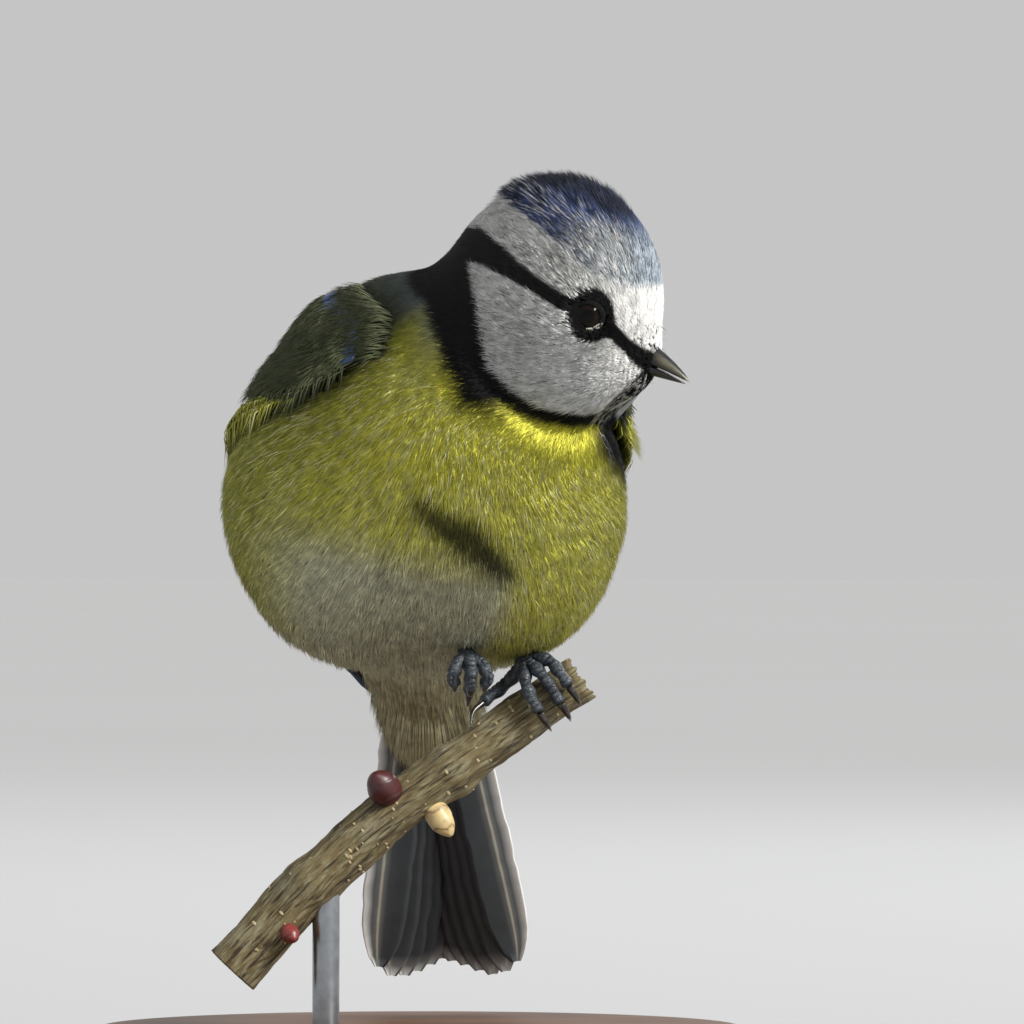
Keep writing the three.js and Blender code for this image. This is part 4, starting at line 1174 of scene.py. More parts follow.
# %% Shades of the tufts
BARBS = 5
STREAK_DARK, STREAK_PALE, GAP_SHADE_GREY = linears("10131c d4dde6 2a2e2c")
LEMON, MOSS = linears("f3f0b8 7c8030")


def barb_colours(places, tuft, on_shoulder, over_wing):
    """The colour at each barb's outer half; tuft says which tuft each barb belongs to."""
    colours = laid(plumage(places), trunk_colours(places), over_wing)
    colours = laid(colours, MANTLE, on_shoulder)
    around, up, distance = head_angles(places)
    chance = draw.random(tuft.max() + 1)[tuft]
    cap = ease(-1, 2, over_cap_edge(around, up)) * on_head(distance)
    streak = draw.random(len(tuft))
    colours = laid(colours, STREAK_DARK, cap * (chance < 0.3) * 0.8)
    bright = 0.35 * chance + 0.65 * streak > 0.72
    colours = laid(colours, STREAK_PALE, cap * bright * ease(68, 52, up) * 0.8)
    pale = ease(0.12, 0.3, colours.min(1)) * on_head(distance) * ease(14, 40, around) * (1 - over_wing)
    # Dark grey barbs on the pale head are painted shade for the gaps between white barbs.
    dark = (chance < 0.16) * 0.5 + (streak < 0.16) * 0.5
    colours = laid(colours, GAP_SHADE_GREY, pale * dark)
    colours = laid(colours, WHITE, pale * (streak > 0.4) * (1 - dark))
    throat = stripe(around, up, BIB[1:]) * on_head(distance) * (chance > 0.72)
    colours = laid(colours, WHITE, throat * 0.75)
    yellow = ease(0.18, 0.34, colours[:, 1] - colours[:, 2]) * (distance > 19)
    colours = laid(colours, LEMON, yellow * (streak > 0.78) * 0.7)
    colours = laid(colours, MOSS, yellow * (chance < 0.2) * 0.35)
    shade = 1 + 0.12 * draw.normal(size=tuft.max() + 1)[tuft] + 0.11 * draw.normal(size=len(tuft))
    return np.clip(colours * np.clip(shade, 0.6, 1.4)[:, None], 0, 0.95)


breast = BODY_CENTRE[None] + 20 * BODY_FRONT
print("a breast tuft:", barb_colours(breast, np.array([0]), np.zeros(1), np.zeros(1)).round(2))

# %% [markdown]
# The arrays below hold all barbs at once: one row each for foot, middle and tip. Asking the outline how
# deep each middle and tip lies, and moving it along its normal, lays even a long feather round the curve
# of the breast. A few tips stand out: on the crest, and in the loose down of the belly and vent.

# %% Grow the barbs
BARB_BEND = 0.42
PATCH_TALL, LANE_HALF = 0.0024, 0.0008


def barb_width(points):
    return 0.12 + 0.04 * ease(3, 11, from_bill(points)) + 0.07 * ease(14, 24, from_head(points))


def standing_out(points):
    """How far the boldest tips leave the outline, in millimetres."""
    around, up, distance = head_angles(points)
    _, low = body_angles(points)
    crest = ease(46, 62, up) * on_head(distance) * ease(70, 120, around + up)
    loose = 0.85 * ease(15, 24, distance) + 0.9 * ease(-8, -16, low) * ease(22, 30, distance)
    return 0.14 + 1.7 * crest + loose


def at_depth(points, along, wanted):
    return points + along * (wanted - outline(points))[:, None]


def grow(chosen):
    tuft = np.repeat(np.arange(len(chosen)), BARBS)
    foot, normal, way = roots[chosen][tuft], normals[chosen][tuft], ways[chosen][tuft]
    side = np.cross(normal, way)
    crest = ease(0.8, 1.6, standing_out(foot))
    fan = np.radians(np.tile(np.linspace(-15, 15, BARBS), len(chosen)) + 5 * draw.normal(size=len(tuft)))
    fan = fan * (1 - 0.8 * crest)
    swirl = np.radians(7 * draw.normal(size=len(chosen)))[tuft]
    turn = (fan + swirl)[:, None]
    heading, across = way * np.cos(turn) + side * np.sin(turn), side * np.cos(turn) - way * np.sin(turn)
    long = lengths[chosen][tuft] * (1 + 0.16 * draw.normal(size=len(tuft))).clip(0.6, 1.5)
    long = long * (1 - crest) + lengths[chosen][tuft] * 1.1 * crest
    depth, width = coat_depth(foot), barb_width(foot) * (1 + 0.5 * crest)
    foot = foot + across * (0.35 * width * draw.normal(size=len(tuft)))[:, None] - normal * 0.12
    bold = 0.8 * draw.random(len(chosen))[tuft] ** (2 - crest) + 0.2 * draw.random(len(tuft)) ** 2
    out = standing_out(foot) * bold - 0.25 * depth * draw.random(len(tuft))
    raised, top = root_height[chosen][tuft], tip_height[chosen][tuft]
    foot = foot + normal * np.maximum(raised - 0.45, 0)[:, None]
    out = out + np.where(top > 0, np.maximum(top - depth + 0.2, 0), 0)
    bend = np.maximum(-0.38 * depth, np.maximum(raised, 0.5 * top) - depth + 0.25)
    middle = at_depth(foot + heading * (BARB_BEND * long)[:, None], normal, bend)
    tip = at_depth(foot + heading * long[:, None], normal, out)
    half = across * (width / 2)[:, None]
    ridge = normal * (0.3 * width)[:, None]
    points = np.stack([foot, middle - half, middle + half, middle + ridge, tip], 1).reshape(-1, 3)
    first = np.arange(len(tuft))[:, None] * 5
    pattern = np.array([[0, 3, 1], [0, 2, 3], [0, 1, 2], [4, 1, 3], [4, 3, 2], [4, 2, 1]])
    faces = (first[:, None] + pattern).reshape(-1, 3)
    over_wing = ((raised > 0) | (top > 0)).astype(float)
    colours = barb_colours((middle + tip) / 2, tuft, shoulder[chosen][tuft], over_wing)
    shades = np.array([0.3, 0.8, 0.8, 0.95, 1.15])
    colours = np.clip(colours[:, None] * shades[None, :, None], 0, 1).reshape(-1, 3)
    patch = np.array([[0, 0], [-0.4, 0.5], [0.4, 0.5], [0, 0.5], [0, 1]]) * PATCH_TALL
    lane = np.tile(np.linspace(-LANE_HALF, LANE_HALF, BARBS), len(chosen))
    uv = root_uv[chosen][tuft][:, None] + patch[None] * (0.4, 1) - (0, PATCH_TALL / 2)
    uv[..., 0] += lane[:, None]
    return points, faces, colours, uv.reshape(-1, 2)


# %% Share the coat among pieces, each a region with fewer than 200,000 triangles
def regions(points):
    around, up, distance = head_angles(points)
    side = (points - HEAD_CENTRE) @ HEAD_RIGHT
    azimuth, height = body_angles(points)
    cap = over_cap_edge(around, up) > -8
    head = distance < 18.5
    belly = height < -1
    names = np.full(len(points), "coat_back", dtype=object)
    front = np.abs(azimuth) < 100
    for word, here in (("right", azimuth < 8), ("left", azimuth >= 8)):
        names[front & here] = "coat_breast_" + word
        names[front & here & belly] = "coat_belly_" + word
    names[height < -16] = "coat_vent"
    names[head] = np.where(side > 0, "coat_face_right", "coat_face_left")[head]
    names[head & cap] = "coat_crown"
    names[head & (around > 115) & ~cap] = "coat_nape"
    return names


region_of = regions(roots)
for name in sorted(set(region_of)):
    points, faces, colours, uv = grow(np.flatnonzero(region_of == name))
    on_the_head = name in ("coat_crown", "coat_nape", "coat_face_left", "coat_face_right")
    slot = "head_plumage" if on_the_head else "body_plumage"
    mesh_piece(name, points, faces, coat_paint, slot, (), colours, uv)
    print(name, len(faces), "triangles")

# %% [markdown]
# ## Twig
# The bird stands on a broken twig. Its bark is a tube round a smooth path, with two swollen knots, long
# shallow furrows, and a splintered end. Toes grip it, so places on it are counted from its end, and by the
# angle from its top to its front.

# %% Twig and places beside it
TWIG_RADIUS, TWIG_STEPS, TWIG_SIDES = 2.85, 221, 96
FURROWS = [(7, 11), (11, 17), (17, 29), (23, 37)]
TWIG_PATH = np.array([
    (17.4, -5, 44.4), (15.8, -5, 43.3), (8.9, -5.2, 38.6), (3.3, -5.4, 34.4), (-2.2, -5.2, 30.6),
    (-7.8, -4.8, 25.8), (-13.3, -4.4, 20.6), (-17.8, -4, 15.6), (-20.8, -4, 12.4),
])  # fmt: skip
twig_line = curve_through(TWIG_PATH, TWIG_STEPS)
twig_length = np.linalg.norm(np.diff(twig_line, axis=0), axis=1).sum()
twig_tangents = unit(np.gradient(twig_line, axis=0))


def across_line(tangents, first):
    """Two directions across a line at each point, carried along it without twist."""
    sides, side = [], np.array(first, float)
    for tangent in tangents:
        side = at_right_angles(side, tangent)
        sides.append(side)
    sides = np.array(sides)
    return sides, np.cross(tangents, sides)


twig_top, twig_front = across_line(twig_tangents, (0, 0, 1))


def beside(distance, degrees, out):
    at = max(0.0, distance + 2) / twig_length * (len(twig_line) - 1)
    i = min(int(at), len(twig_line) - 2)
    centre = twig_line[i] + (twig_line[i + 1] - twig_line[i]) * (at - i)
    axis = twig_tangents[i]
    top = at_right_angles(np.array([0.0, 0.0, 1.0]), axis)
    front = at_right_angles(np.array([0.0, -1.0, 0.0]), axis)
    return centre + out * (cos(radians(degrees)) * top + sin(radians(degrees)) * front)


def twig_radius(t, turn):
    knots = 0.35 * np.exp(-(((t - 0.34) / 0.03) ** 2)) + 0.3 * np.exp(-(((t - 0.74) / 0.03) ** 2))
    rough = 0.1 * np.sin(3 * turn + 17 * t) + 0.08 * np.sin(2 * turn - 29 * t)
    furrows = sum(0.035 * np.sin(k * turn + 4 * np.sin(p * t)) for k, p in FURROWS)
    return TWIG_RADIUS * (0.9 + 0.18 * t) + knots + rough + furrows


turns = full_turn(TWIG_SIDES)[None]
t = np.linspace(0, 1, TWIG_STEPS)[:, None]
radius = twig_radius(t, turns)
splinters = 0.7 * np.abs(np.sin(turns * 4.5)) + 0.5 * np.abs(np.sin(turns * 9 + 1))
back = np.zeros((TWIG_STEPS, TWIG_SIDES))
back[0] = -splinters[0] * 0.7
rings = (
    twig_line[:, None]
    + radius[..., None] * ways_round(turns, twig_top[:, None], twig_front[:, None])
    + back[..., None] * twig_tangents[:, None]
)
hollow = twig_line[:1, None] + 0.55 * (rings[:1] - twig_line[:1, None]) + 0.45 * twig_tangents[:1, None]
points, faces = closed_tube(np.concatenate([hollow, rings]))
bark_place = np.column_stack([
    np.concatenate([[0] * TWIG_SIDES, (t * twig_length + 0 * turns).ravel(), [0, twig_length]]),
    np.concatenate([np.tile(np.cos(turns[0]), TWIG_STEPS + 1), [0, 0]]) * 3,
    np.concatenate([np.tile(np.sin(turns[0]), TWIG_STEPS + 1), [0, 0]]) * 3,
])  # fmt: skip
print("twig", round(twig_length, 1), "mm long")

# %% [markdown]
# Bark runs in long cracked plates. The paint reads how far each point lies along and round the twig, so
# that its noise can be stretched lengthwise however the twig bends. Brown, olive and grey plates follow one
# noise, pale lichen lies over them in small patches, and thin dark cracks run between them.

# %% Bark
BARK_BROWN, BARK_OLIVE, BARK_GREY, CRACK = linears("5a4a30 6f6444 8f8a72 332a1d")
bark_paint = Paint("twig_bark", 0.85)
bark_axis = bark_paint.attribute("bark", "Vector")
plates = bark_paint.noise(1.7, 5, bark_paint.stretched(bark_axis, (0.28, 1.0, 1.0)), 0.6)
threads = bark_paint.noise(1.6, 6, bark_paint.stretched(bark_axis, (0.16, 1.7, 1.7)), 0.65)
crack_lines = bark_paint.ramp(threads, (0.36, 0.0), (0.47, 1.0))
bark_colour = bark_paint.ramp(plates, (0.3, BARK_BROWN), (0.52, BARK_OLIVE), (0.72, BARK_GREY))
lichen = bark_paint.ramp(bark_paint.noise(260, 4), (0.5, 0.0), (0.64, 1.0))
bark_colour = bark_paint.mix(bark_paint.maths("MULTIPLY", lichen, 0.45), bark_colour, BARK_GREY)
bark_paint.colour(bark_paint.mix(crack_lines, CRACK, bark_colour))
relief = bark_paint.maths("ADD", plates, bark_paint.maths("MULTIPLY", crack_lines, 0.5))
bark_paint.bump(relief, 0.8, 0.0004)
twig = mesh_piece("twig", points, faces, bark_paint, "twig_bark", ("perch_twig",))
add_vectors(twig.data, "bark", bark_place)
print("twig", len(faces), "triangles")

# %% [markdown]
# Buds are wrapped in overlapping scales. Each is an egg whose surface steps up at the edge of every scale,
# in a spiral, with the scales' edges darker.

# %% Buds
BUDS = [
    ("bud_red", 22, 42, 1.8, 2.5, linear("43191a"), linear("1c0a0a")),
    ("bud_pale", 19, 165, 1.4, 2.6, linear("bda877"), linear("6b3a2a")),
    ("bud_small", 40.5, 125, 1.0, 1.5, linear("7a2f2b"), linear("3a1614")),
]
bud_paint = Paint("bud_scales", 0.45, Coat_Weight=0.15, Coat_Roughness=0.3)
bud_grain = bud_paint.noise(1400, 4)
bud_paint.colour(bud_paint.grained(bud_paint.attribute("plumage"), bud_grain, (0.3, 0.75), (0.7, 1.2)))
bud_paint.bump(bud_grain, 0.4, 0.0001)


def bud(distance, degrees, half, tall, colour, edge):
    foot, top = beside(distance, degrees, 3), beside(distance, degrees, 6)
    axis = unit(top - foot)
    centre = beside(distance, degrees, TWIG_RADIUS + 0.5)
    side = at_right_angles(np.array([0.0, 1.0, 0.0]), axis)
    turn = full_turn(48)[None]
    polar = np.linspace(0.04, 0.96, 40)[:, None] * pi
    spiral = (3.2 * (1 - polar / pi) + turn / (2 * pi) * 1.0 + 0.12 * np.cos(3 * turn)) % 1
    step = 1 + 0.075 * spiral**2
    tip = 1 + 0.12 * np.exp(-((polar / 0.35) ** 2))
    out = half * step * np.sin(polar) ** 0.9
    level = tall * np.cos(polar) * tip + 0 * turn
    wide = ways_round(turn, side, np.cross(axis, side))
    points, faces = closed_tube(centre + out[..., None] * wide + level[..., None] * axis)
    dark = ease(0.8, 0.98, spiral).ravel() * 0.7 + ease(0.6, 0.95, (polar / pi + 0 * turn).ravel()) * 0.3
    colours = laid(plain(colour, dark), edge, dark)
    return points, faces, with_ends(colours)


for name, *sizes in BUDS:
    points, faces, colours = bud(*sizes)
    mesh_piece(name + "_scaled", points, faces, bud_paint, "bud_scales", (name,), colours)
print("buds:", len(BUDS))

# %% [markdown]
# ## Legs
# Toes and shanks are thin, hard and scaly, slate blue with a grey bloom. A tube follows each one's path, and
# swells at the joints of the toes. Claws are smooth curved horn.

# %% Paths of the legs
TARSUS_RADIUS, TOE_RADIUS, CLAW_RADIUS = 0.72, 0.74, 0.45
LEFT_ANKLE = beside(1.3, 5, 5.2)
LEFT_TOES = {
    "middle": [(1.3, 12, 5.1), (0.9, 45, 4.4), (0.8, 75, 4), (0.9, 98, 3.95)],
    "inner": [(1.6, 12, 5.1), (2.9, 45, 4.4), (3.3, 72, 4), (3.4, 92, 3.95)],
    "outer": [(1, 8, 5.1), (-0.7, 35, 4.5), (-1, 62, 4), (-1, 84, 3.95)],
    "hind": [(1.8, 4, 5), (4.2, -12, 4.3), (6.2, -6, 4), (7.6, 8, 4)],
}
LEFT_CLAWS = {
    "middle": [(0.95, 106, 3.95), (1, 128, 4.1), (1.1, 150, 3.7)],
    "inner": [(3.45, 100, 3.95), (3.5, 121, 4.1), (3.5, 142, 3.7)],
    "outer": [(-1, 92, 3.95), (-0.9, 112, 4.1), (-0.8, 132, 3.7)],
    "hind": [(8.1, 13, 4), (9.4, 27, 4.15), (10.4, 44, 3.8)],
}
RIGHT_ANKLE = np.array([5.4, -9.3, 47])
RIGHT_TOES = {
    "middle": [(0, 0, 0), (0.3, -2.4, -0.6), (0.4, -3.2, -2.4), (0.3, -2.2, -3.8)],
    "inner": [(0, 0, 0), (-1.4, -2, -0.7), (-2, -2.6, -2.2), (-2, -1.8, -3.4)],
    "outer": [(0, 0, 0), (1.7, -1.7, -0.8), (2.5, -2.2, -2.2), (2.4, -1.5, -3.4)],
    "hind": [(0, 0, 0), (0.2, 1.2, -1.6), (0.2, 0.9, -3.2), (0.1, 0.2, -4.4)],
}
RIGHT_CLAWS = {
    "middle": [(0.3, -2, -4.2), (0.2, -1.4, -5), (0.1, -0.6, -5.3)],
    "inner": [(-2, -1.4, -3.7), (-1.9, -0.5, -4.4), (-1.7, 0.4, -4.4)],
    "outer": [(2.3, -1.1, -3.7), (2.1, -0.2, -4.4), (1.9, 0.6, -4.4)],
    "hind": [(0.1, 0.1, -4.8), (0, 0.5, -5.8), (-0.2, 0.8, -6.7)],
}


def left_path(path):
    return [beside(*place) for place in path]


def right_path(path):
    return [np.array(place) * 0.8 + RIGHT_ANKLE for place in path]


LEGS = {
    "left": ([(4.6, 2.2, 53.4), (8.4, -2.2, 49.6), LEFT_ANKLE], LEFT_TOES, LEFT_CLAWS, left_path),
    "right": ([(3.8, -3.4, 51.4), (4.7, -6.4, 48.9), RIGHT_ANKLE], RIGHT_TOES, RIGHT_CLAWS, right_path),
}
print("left ankle at", LEFT_ANKLE.round(1))

# %% Shanks, toes and claws
SLATE, SLATE_PALE, CLAW_HORN = linears("20262d 444d56 1a1818")
CLAW_PALE = linear("6a625a")
leg_paint = Paint("leg_scales", 0.5, Coat_Weight=0.1, Coat_Roughness=0.4)
cells = {"feature": "DISTANCE_TO_EDGE"}
scaly = leg_paint.node("ShaderNodeTexVoronoi", cells, Vector=leg_paint.place, Scale=2100.0)
scale_edge = leg_paint.ramp(scaly.outputs["Distance"], (0.0, 0.0), (0.12, 1.0))
bloom = leg_paint.ramp(leg_paint.noise(500, 4), (0.35, SLATE), (0.7, SLATE_PALE))
leg_paint.colour(leg_paint.mix(scale_edge, linear("12161a"), bloom))
leg_paint.bump(scale_edge, 0.5, 0.00008)
claw_paint = Paint("claw_horn", 0.3, Coat_Weight=0.3, Coat_Roughness=0.15)
worn = claw_paint.ramp(claw_paint.noise(1500, 3), (0.4, 0.0), (0.75, 0.45))
claw_paint.colour(claw_paint.mix(worn, claw_paint.attribute("plumage"), CLAW_PALE))
claw_paint.bump(claw_paint.noise(2600, 3), 0.2, 0.00004)


def round_tube(path, radius_at, steps, sides=18, end=0.5):
    """A tube with rounded ends; radius_at takes the share of the way along and the angle round."""
    line = curve_through(path, steps)
    tangents = unit(np.gradient(line, axis=0))
    first = np.cross(tangents[0], (0.31, 0.52, 0.79))
    sides_a, sides_b = across_line(tangents, first)
    turn = full_turn(sides)[None]
    t = np.linspace(0, 1, steps)[:, None]
    radius = radius_at(t, turn)
    rings = line[:, None] + radius[..., None] * ways_round(turn, sides_a[:, None], sides_b[:, None])

    def dome(centre, ring, tangent, reach):
        levels = np.radians([25, 50, 72])
        return [centre + (ring - centre) * cos(a) + tangent * reach * sin(a) for a in levels]

    start = dome(line[0], rings[0], -tangents[0], radius[0].mean() * end)[::-1]
    finish = dome(line[-1], rings[-1], tangents[-1], radius[-1].mean() * end)
    return closed_tube(np.concatenate([start, rings, finish]))


def toe_radius(t, turn):
    return TOE_RADIUS * (1.05 - 0.2 * t) * (1 + 0.14 * np.cos(6 * pi * t)) * (1 + 0.03 * np.cos(3 * turn))


def shank_radius(t, turn):
    return TARSUS_RADIUS * (1.15 + 0.3 * (2 * t - 1) ** 2) * (1 + 0 * turn)


def claw_radius(t, turn):
    return CLAW_RADIUS * (1.1 - 0.92 * t) * (1 + 0.12 * np.cos(2 * turn))


for word, (shank, toes, claws, path_of) in LEGS.items():
    limbs = [round_tube(shank, shank_radius, 40)]
    limbs += [round_tube(path_of(toe), toe_radius, 48) for toe in toes.values()]
    mesh_piece(f"leg_{word}_skin", *joined(limbs), leg_paint, "leg_scales", ("leg_" + word,))
    points, faces = joined([round_tube(path_of(claw), claw_radius, 30, end=0.4) for claw in claws.values()])
    nodes = [f"claw_{word}_{toe}" for toe in claws]
    mesh_piece("claws_" + word, points, faces, claw_paint, "claw_horn", nodes, plain(CLAW_HORN, points))
    print(word, "leg and claws made")

# %% [markdown]
# ## Small parts that repeat
# The horny plates along the toes, the bristles round the bill and the breathing pores of the bark are the
# same small shape over and over. Geometry Nodes place such copies: a cloud of points carries a turn and a
# size for each copy, and the tree sets the shape on every point, then makes the copies real.

# %% A tree that sets one shape on every point
def copies_tree():
    tree = bpy.data.node_groups.new("shape_on_points", "GeometryNodeTree")
    for name, kind in (("Geometry", "Geometry"), ("Shape", "Object"), ("Finish", "Material")):
        tree.interface.new_socket(name, in_out="INPUT", socket_type="NodeSocket" + kind)
    tree.interface.new_socket("Geometry", in_out="OUTPUT", socket_type="NodeSocketGeometry")
    given, result = tree.nodes.new("NodeGroupInput"), tree.nodes.new("NodeGroupOutput")

    def node(kind):
        return tree.nodes.new("GeometryNode" + kind)

    def stored(name, kind):
        made = node("InputNamedAttribute")
        made.data_type = kind
        made.inputs["Name"].default_value = name
        return made

    points, shape, place = node("MeshToPoints"), node("ObjectInfo"), node("InstanceOnPoints")
    real, finish = node("RealizeInstances"), node("SetMaterial")
    for start, output, end, goal in (
        (given, "Geometry", points, "Mesh"),
        (given, "Shape", shape, "Object"),
        (points, "Points", place, "Points"),
        (shape, "Geometry", place, "Instance"),
        (stored("turn", "FLOAT_VECTOR"), "Attribute", place, "Rotation"),
        (stored("size", "FLOAT"), "Attribute", place, "Scale"),
        (place, "Instances", real, "Geometry"),
        (real, "Geometry", finish, "Geometry"),
        (given, "Finish", finish, "Material"),
        (finish, "Geometry", result, "Geometry"),
    ):
        tree.links.new(start.outputs[output], end.inputs[goal])
    return tree


COPIES = copies_tree()
print("nodes in the tree:", len(COPIES.nodes))


def copies_of(name, shape, copies, paint, slot):
    """One plain mesh of copies (place, aim, lean, size): Z leans out of the surface and X aims along it."""
    cloud = bpy.data.meshes.new(name + "_points")
    cloud.from_pydata([tuple(copy[0] * MM) for copy in copies], [], [])
    turns = []
    for _, aim, lean, _ in copies:
        aim = at_right_angles(aim, unit(lean))
        turns.append(Matrix(np.array([aim, np.cross(unit(lean), aim), unit(lean)]).T.tolist()).to_euler())
    add_vectors(cloud, "turn", np.array(turns))
    sizes = np.array([copy[3] for copy in copies], float)
    cloud.attributes.new("size", "FLOAT", "POINT").data.foreach_set("value", sizes)
    holder = placed(name + "_holder", cloud)
    modifier = holder.modifiers.new("copies", "NODES")
    modifier.node_group = COPIES
    sockets = {item.name: item.identifier for item in COPIES.interface.items_tree if item.in_out == "INPUT"}
    modifier[sockets["Shape"]] = shape
    modifier[sockets["Finish"]] = paint.material
    mesh = evaluated_mesh(holder)
    mesh.name = name
    bpy.data.objects.remove(holder)
    bpy.data.objects.remove(shape)
    placed(name, mesh, slot)
    print(name, len(copies), "copies,", len(mesh.polygons), "faces")


def pebble(name, radii, ends, rows, sides, lip=0.0):
    """A closed egg with three radii; the lip draws its top pole in."""
    turn = full_turn(sides)[None]
    polar = np.linspace(*ends, rows)[:, None] * pi
    out = np.sin(polar)
    level = np.cos(polar) * (1 - lip * np.exp(-((polar / 0.5) ** 2))) + 0 * turn
    rings = np.stack([out * np.cos(turn), out * np.sin(turn), level], -1) * radii
    return mesh_piece(name, *closed_tube(rings))


# %% Plates along the toes
copies = []
for word, (shank, toes, _, path_of) in LEGS.items():
    for path in [shank] + [path_of(toe) for toe in toes.values()]:
        line = curve_through(path, 13 if path is shank else 11)[1:-1]
        tangents = unit(np.gradient(line, axis=0))
        if path is shank:
            away = np.tile(-BODY_AXES[1] * 0.2 + np.array([0.3, -1, 0]), (len(line), 1))
        elif word == "left":
            nearest = np.argmin(np.linalg.norm(line[:, None] - twig_line[None], axis=2), axis=1)
            away = line - twig_line[nearest]
        else:
            away = line - (RIGHT_ANKLE + (0, -0.4, -2.2))
        for point, tangent, lean in zip(line, tangents, away):
            lean = at_right_angles(lean, tangent)
            copies.append((point + lean * 0.6, tangent, lean, 1.15 if path is shank else 1.0))
scute = pebble("scute", (0.36, 0.5, 0.2), (0.1, 0.9), 7, 14)
copies_of("toe_plates", scute, copies, leg_paint, "leg_scales")

# %% Bristles round the bill
BRISTLE_ROW = 23
bristle_line = [(0, 0, 0), (0.8, 0, 0.12), (1.7, 0, 0.1), (2.5, 0, -0.12)]
bristle_tube = round_tube(bristle_line, lambda t, turn: 0.055 * (1.05 - t) + 0 * turn, 9, 6)
bristle = mesh_piece("bristle", *bristle_tube)
bristle_paint = Paint("bristles", 0.5)
bristle_paint.speckled(2000, 2, (0.3, linear("08080a")), (0.8, linear("2c2c30")))
draw = np.random.default_rng(5)
copies = []
for i in range(2 * BRISTLE_ROW):
    if i < BRISTLE_ROW:
        turn = radians(-35 + 250 * i / (BRISTLE_ROW - 1))
    else:
        turn = radians(-20 + 220 * draw.random())
    ring = cos(turn) * HEAD_RIGHT * 2.2 + sin(turn) * HEAD_UP * 2.3
    place = BILL_BASE + ring - 0.4 * HEAD_FRONT
    place = at_depth(place[None], unit(ring)[None], np.array([-0.45]))[0]
    aim = HEAD_FRONT * 0.9 - 0.16 * unit(ring) + 0.15 * draw.normal(size=3)
    copies.append((place, aim, unit(ring), 0.6 + 0.5 * draw.random()))
copies_of("bill_bristles", bristle, copies, bristle_paint, "head_plumage")

# %% Breathing pores of the bark
PORES = 150
pore_paint = Paint("bark_pores", 0.9)
pore_paint.speckled(900, 3, (0.3, linear("8d7d5c")), (0.7, linear("bdb08c")))
draw = np.random.default_rng(9)
copies = []
for _ in range(PORES):
    i, k = draw.integers(12, 210), draw.integers(0, TWIG_SIDES)
    lean = cos(turns[0, k]) * twig_top[i] + sin(turns[0, k]) * twig_front[i]
    copies.append((rings[i, k] - 0.02 * lean, twig_tangents[i], lean, 0.5 + 0.8 * draw.random()))
pore = pebble("pore", (0.16, 0.3, 0.1), (0.12, 0.88), 6, 12, lip=0.5)
copies_of("bark_pore_rows", pore, copies, pore_paint, "twig_bark")

# %% [markdown]
# ## Stand
# A museum mount stands on a turned wooden base, with a steel rod into the twig. The base is a profile
# turned round the upright axis. Its paint stretches a noise along one straight line, so that the wood looks
# sawn from a plank and not wrapped.

# %% Base and rod
BASE_RADIUS, BASE_HEIGHT = 38, 6
BASE_EDGE = [(8, 0), (2.6, 0), (1.6, 0.25), (0.7, 0.8), (0.2, 1.5), (0, 2.2), (0, 5), (0.3, 5.7), (1, 6)]
BASE_PROFILE = [(BASE_RADIUS - inwards, BASE_HEIGHT - below) for inwards, below in BASE_EDGE[::-1]]


def turned(profile, centre, sides=160):
    turn = full_turn(sides)
    rings = [np.column_stack([r * np.cos(turn), r * np.sin(turn), np.full(sides, z)]) for r, z in profile]
    return closed_tube(np.array(rings) + np.array(centre))


wood_paint = Paint("stand_wood", 0.5, Coat_Weight=0.1, Coat_Roughness=0.35)
grain = wood_paint.noise(1.0, 6, wood_paint.stretched(wood_paint.place, (28, 260, 260)), 0.62)
fine = wood_paint.noise(1.0, 3, wood_paint.stretched(wood_paint.place, (180, 2600, 2600)))
wood = wood_paint.ramp(grain, (0.3, linear("3a2416")), (0.5, linear("5a3a22")), (0.7, linear("744e2e")))
wood_paint.colour(wood_paint.grained(wood, fine, (0.35, 0.7), (0.6, 1.05)))
wood_paint.bump(fine, 0.15, 0.00008)
profile = [(0.5, 0), *BASE_PROFILE, (0.5, BASE_HEIGHT)]
base = mesh_piece("base_turned", *turned(profile, (0, 0, 0)), wood_paint, "stand_wood", ("stand_base",))
base.data.set_sharp_from_angle(angle=radians(35))

steel_paint = Paint("rod_steel", 0.28, Metallic=1.0)
steel_paint.speckled(600, 4, (0.3, linear("8d9196")), (0.7, linear("a9adb2")))
brushed = steel_paint.stretched(steel_paint.place, (400, 400, 6000))
steel_paint.bump(steel_paint.noise(1.0, 2, brushed), 0.15, 0.00003)
rod_low, rod_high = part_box("stand_rod")
rod_centre = ((rod_low.x + rod_high.x) / 2 / MM, (rod_low.y + rod_high.y) / 2 / MM, 0)
rod_profile = [(1.5, rod_low.z / MM), (1.5, rod_high.z / MM + 1.0)]
rod_mesh = turned(rod_profile, rod_centre, 48)
rod = mesh_piece("rod_brushed", *rod_mesh, steel_paint, "stand_metal", ("stand_rod",))
rod.data.set_sharp_from_angle(angle=radians(35))
print("rod from", round(rod_low.z / MM, 1), "to", round(rod_high.z / MM, 1))

# %% [markdown]
# ## Floor, lights and camera
# A wide pale floor, soft lamps and a white world make a plain studio. The camera looks level at the bird
# from straight in front, through a long lens, as the photograph does.

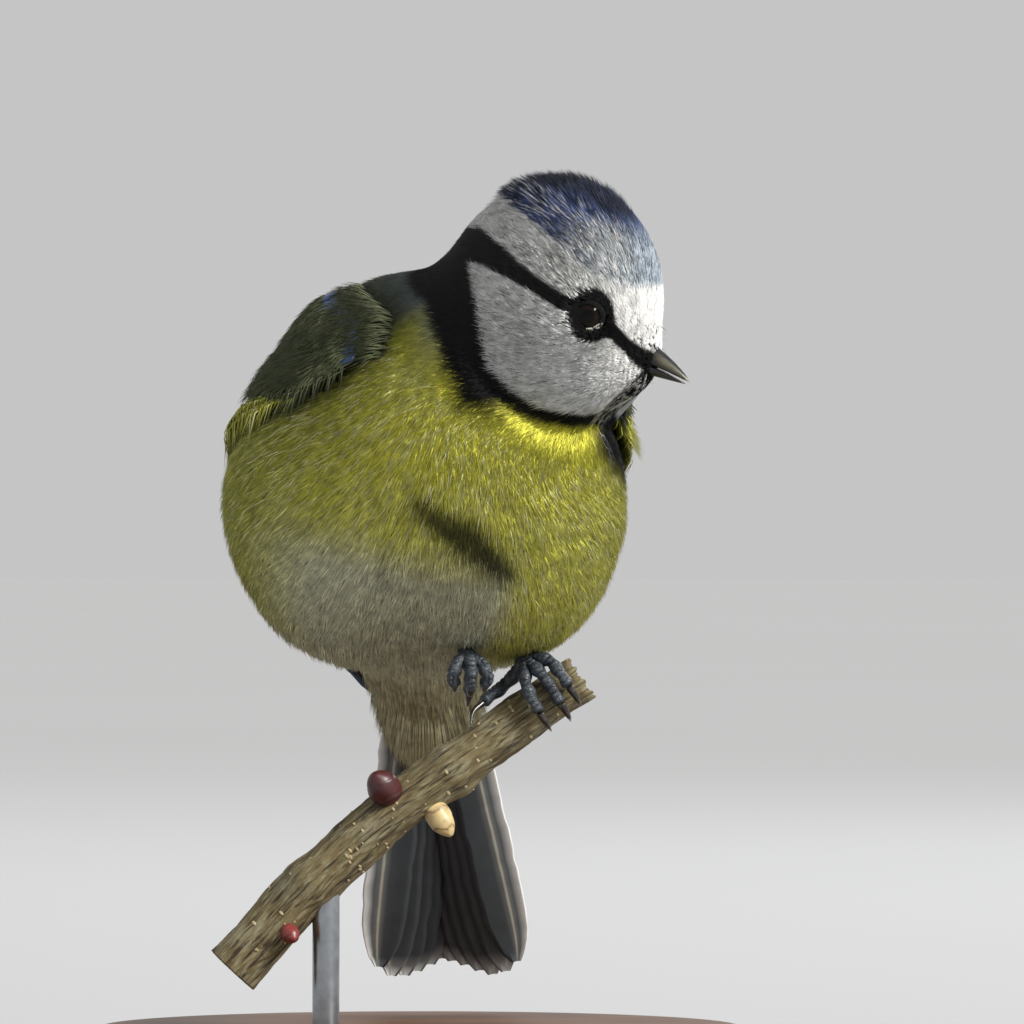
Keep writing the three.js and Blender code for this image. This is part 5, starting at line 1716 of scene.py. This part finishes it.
# %% Stage
floor_paint = Paint("floor_pale", 0.9)
floor_paint.speckled(3, 2, (0.3, linear("abadaf")), (0.7, linear("adaeb1")))
FLOOR = 9000.0
floor_points = [(-FLOOR, -FLOOR, 0), (FLOOR, -FLOOR, 0), (FLOOR, FLOOR, 0), (-FLOOR, FLOOR, 0)]
floor = mesh_piece("floor", np.array(floor_points), [[0, 1, 2], [0, 2, 3]], floor_paint)


MIDDLE = Vector((0.0, 0.0, 0.06))


def shining(name, kind, place, energy, colour):
    """A lamp that shines from a place towards the middle of the bird."""
    holder = placed(name, bpy.data.lights.new(name, kind))
    holder.data.energy, holder.data.color = energy, colour
    holder.rotation_mode = "QUATERNION"
    holder.rotation_quaternion = (MIDDLE - Vector(place)).to_track_quat("-Z", "Y")
    return holder


for name, place, size, colour in (
    ("window", (0.75, -0.8, 0.7), 0.16, (1.0, 0.98, 0.94)),
    ("rim", (0.5, 0.8, 0.7), 0.5, (1, 1, 1)),
):
    lamp = shining(name, "AREA", place, 4, colour)
    lamp.location = place
    lamp.data.shape, lamp.data.size = "DISK", size
sun = shining("key", "SUN", (0.95, -0.68, 0.95), 3.9, (1.0, 0.97, 0.91))
sun.data.angle = radians(12)
world = bpy.data.worlds.new("studio")
world.use_nodes = True
background = world.node_tree.nodes["Background"].inputs
background["Color"].default_value = (1.0, 1.0, 1.0, 1)
background["Strength"].default_value = 0.56
bpy.context.scene.world = world
print("lamps:", len(bpy.data.lights))

# %% Camera
bpy.context.scene.view_settings.view_transform = "Standard"
camera = placed("camera", bpy.data.cameras.new("camera"))
camera.data.sensor_width, camera.data.lens = 36, 379.7
camera.data.clip_start, camera.data.clip_end = 0.01, 100
camera.location = (0.0102, -1.2, 0.0631)
camera.rotation_euler = (radians(90), 0, 0)
bpy.context.scene.camera = camera
print("camera at", [round(v, 3) for v in camera.location])

# %% Measure and finish
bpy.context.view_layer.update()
shown = [piece for piece in bpy.data.objects if piece.type == "MESH" and not piece.hide_render]
print("triangles:", sum(len(piece.data.polygons) for piece in shown))
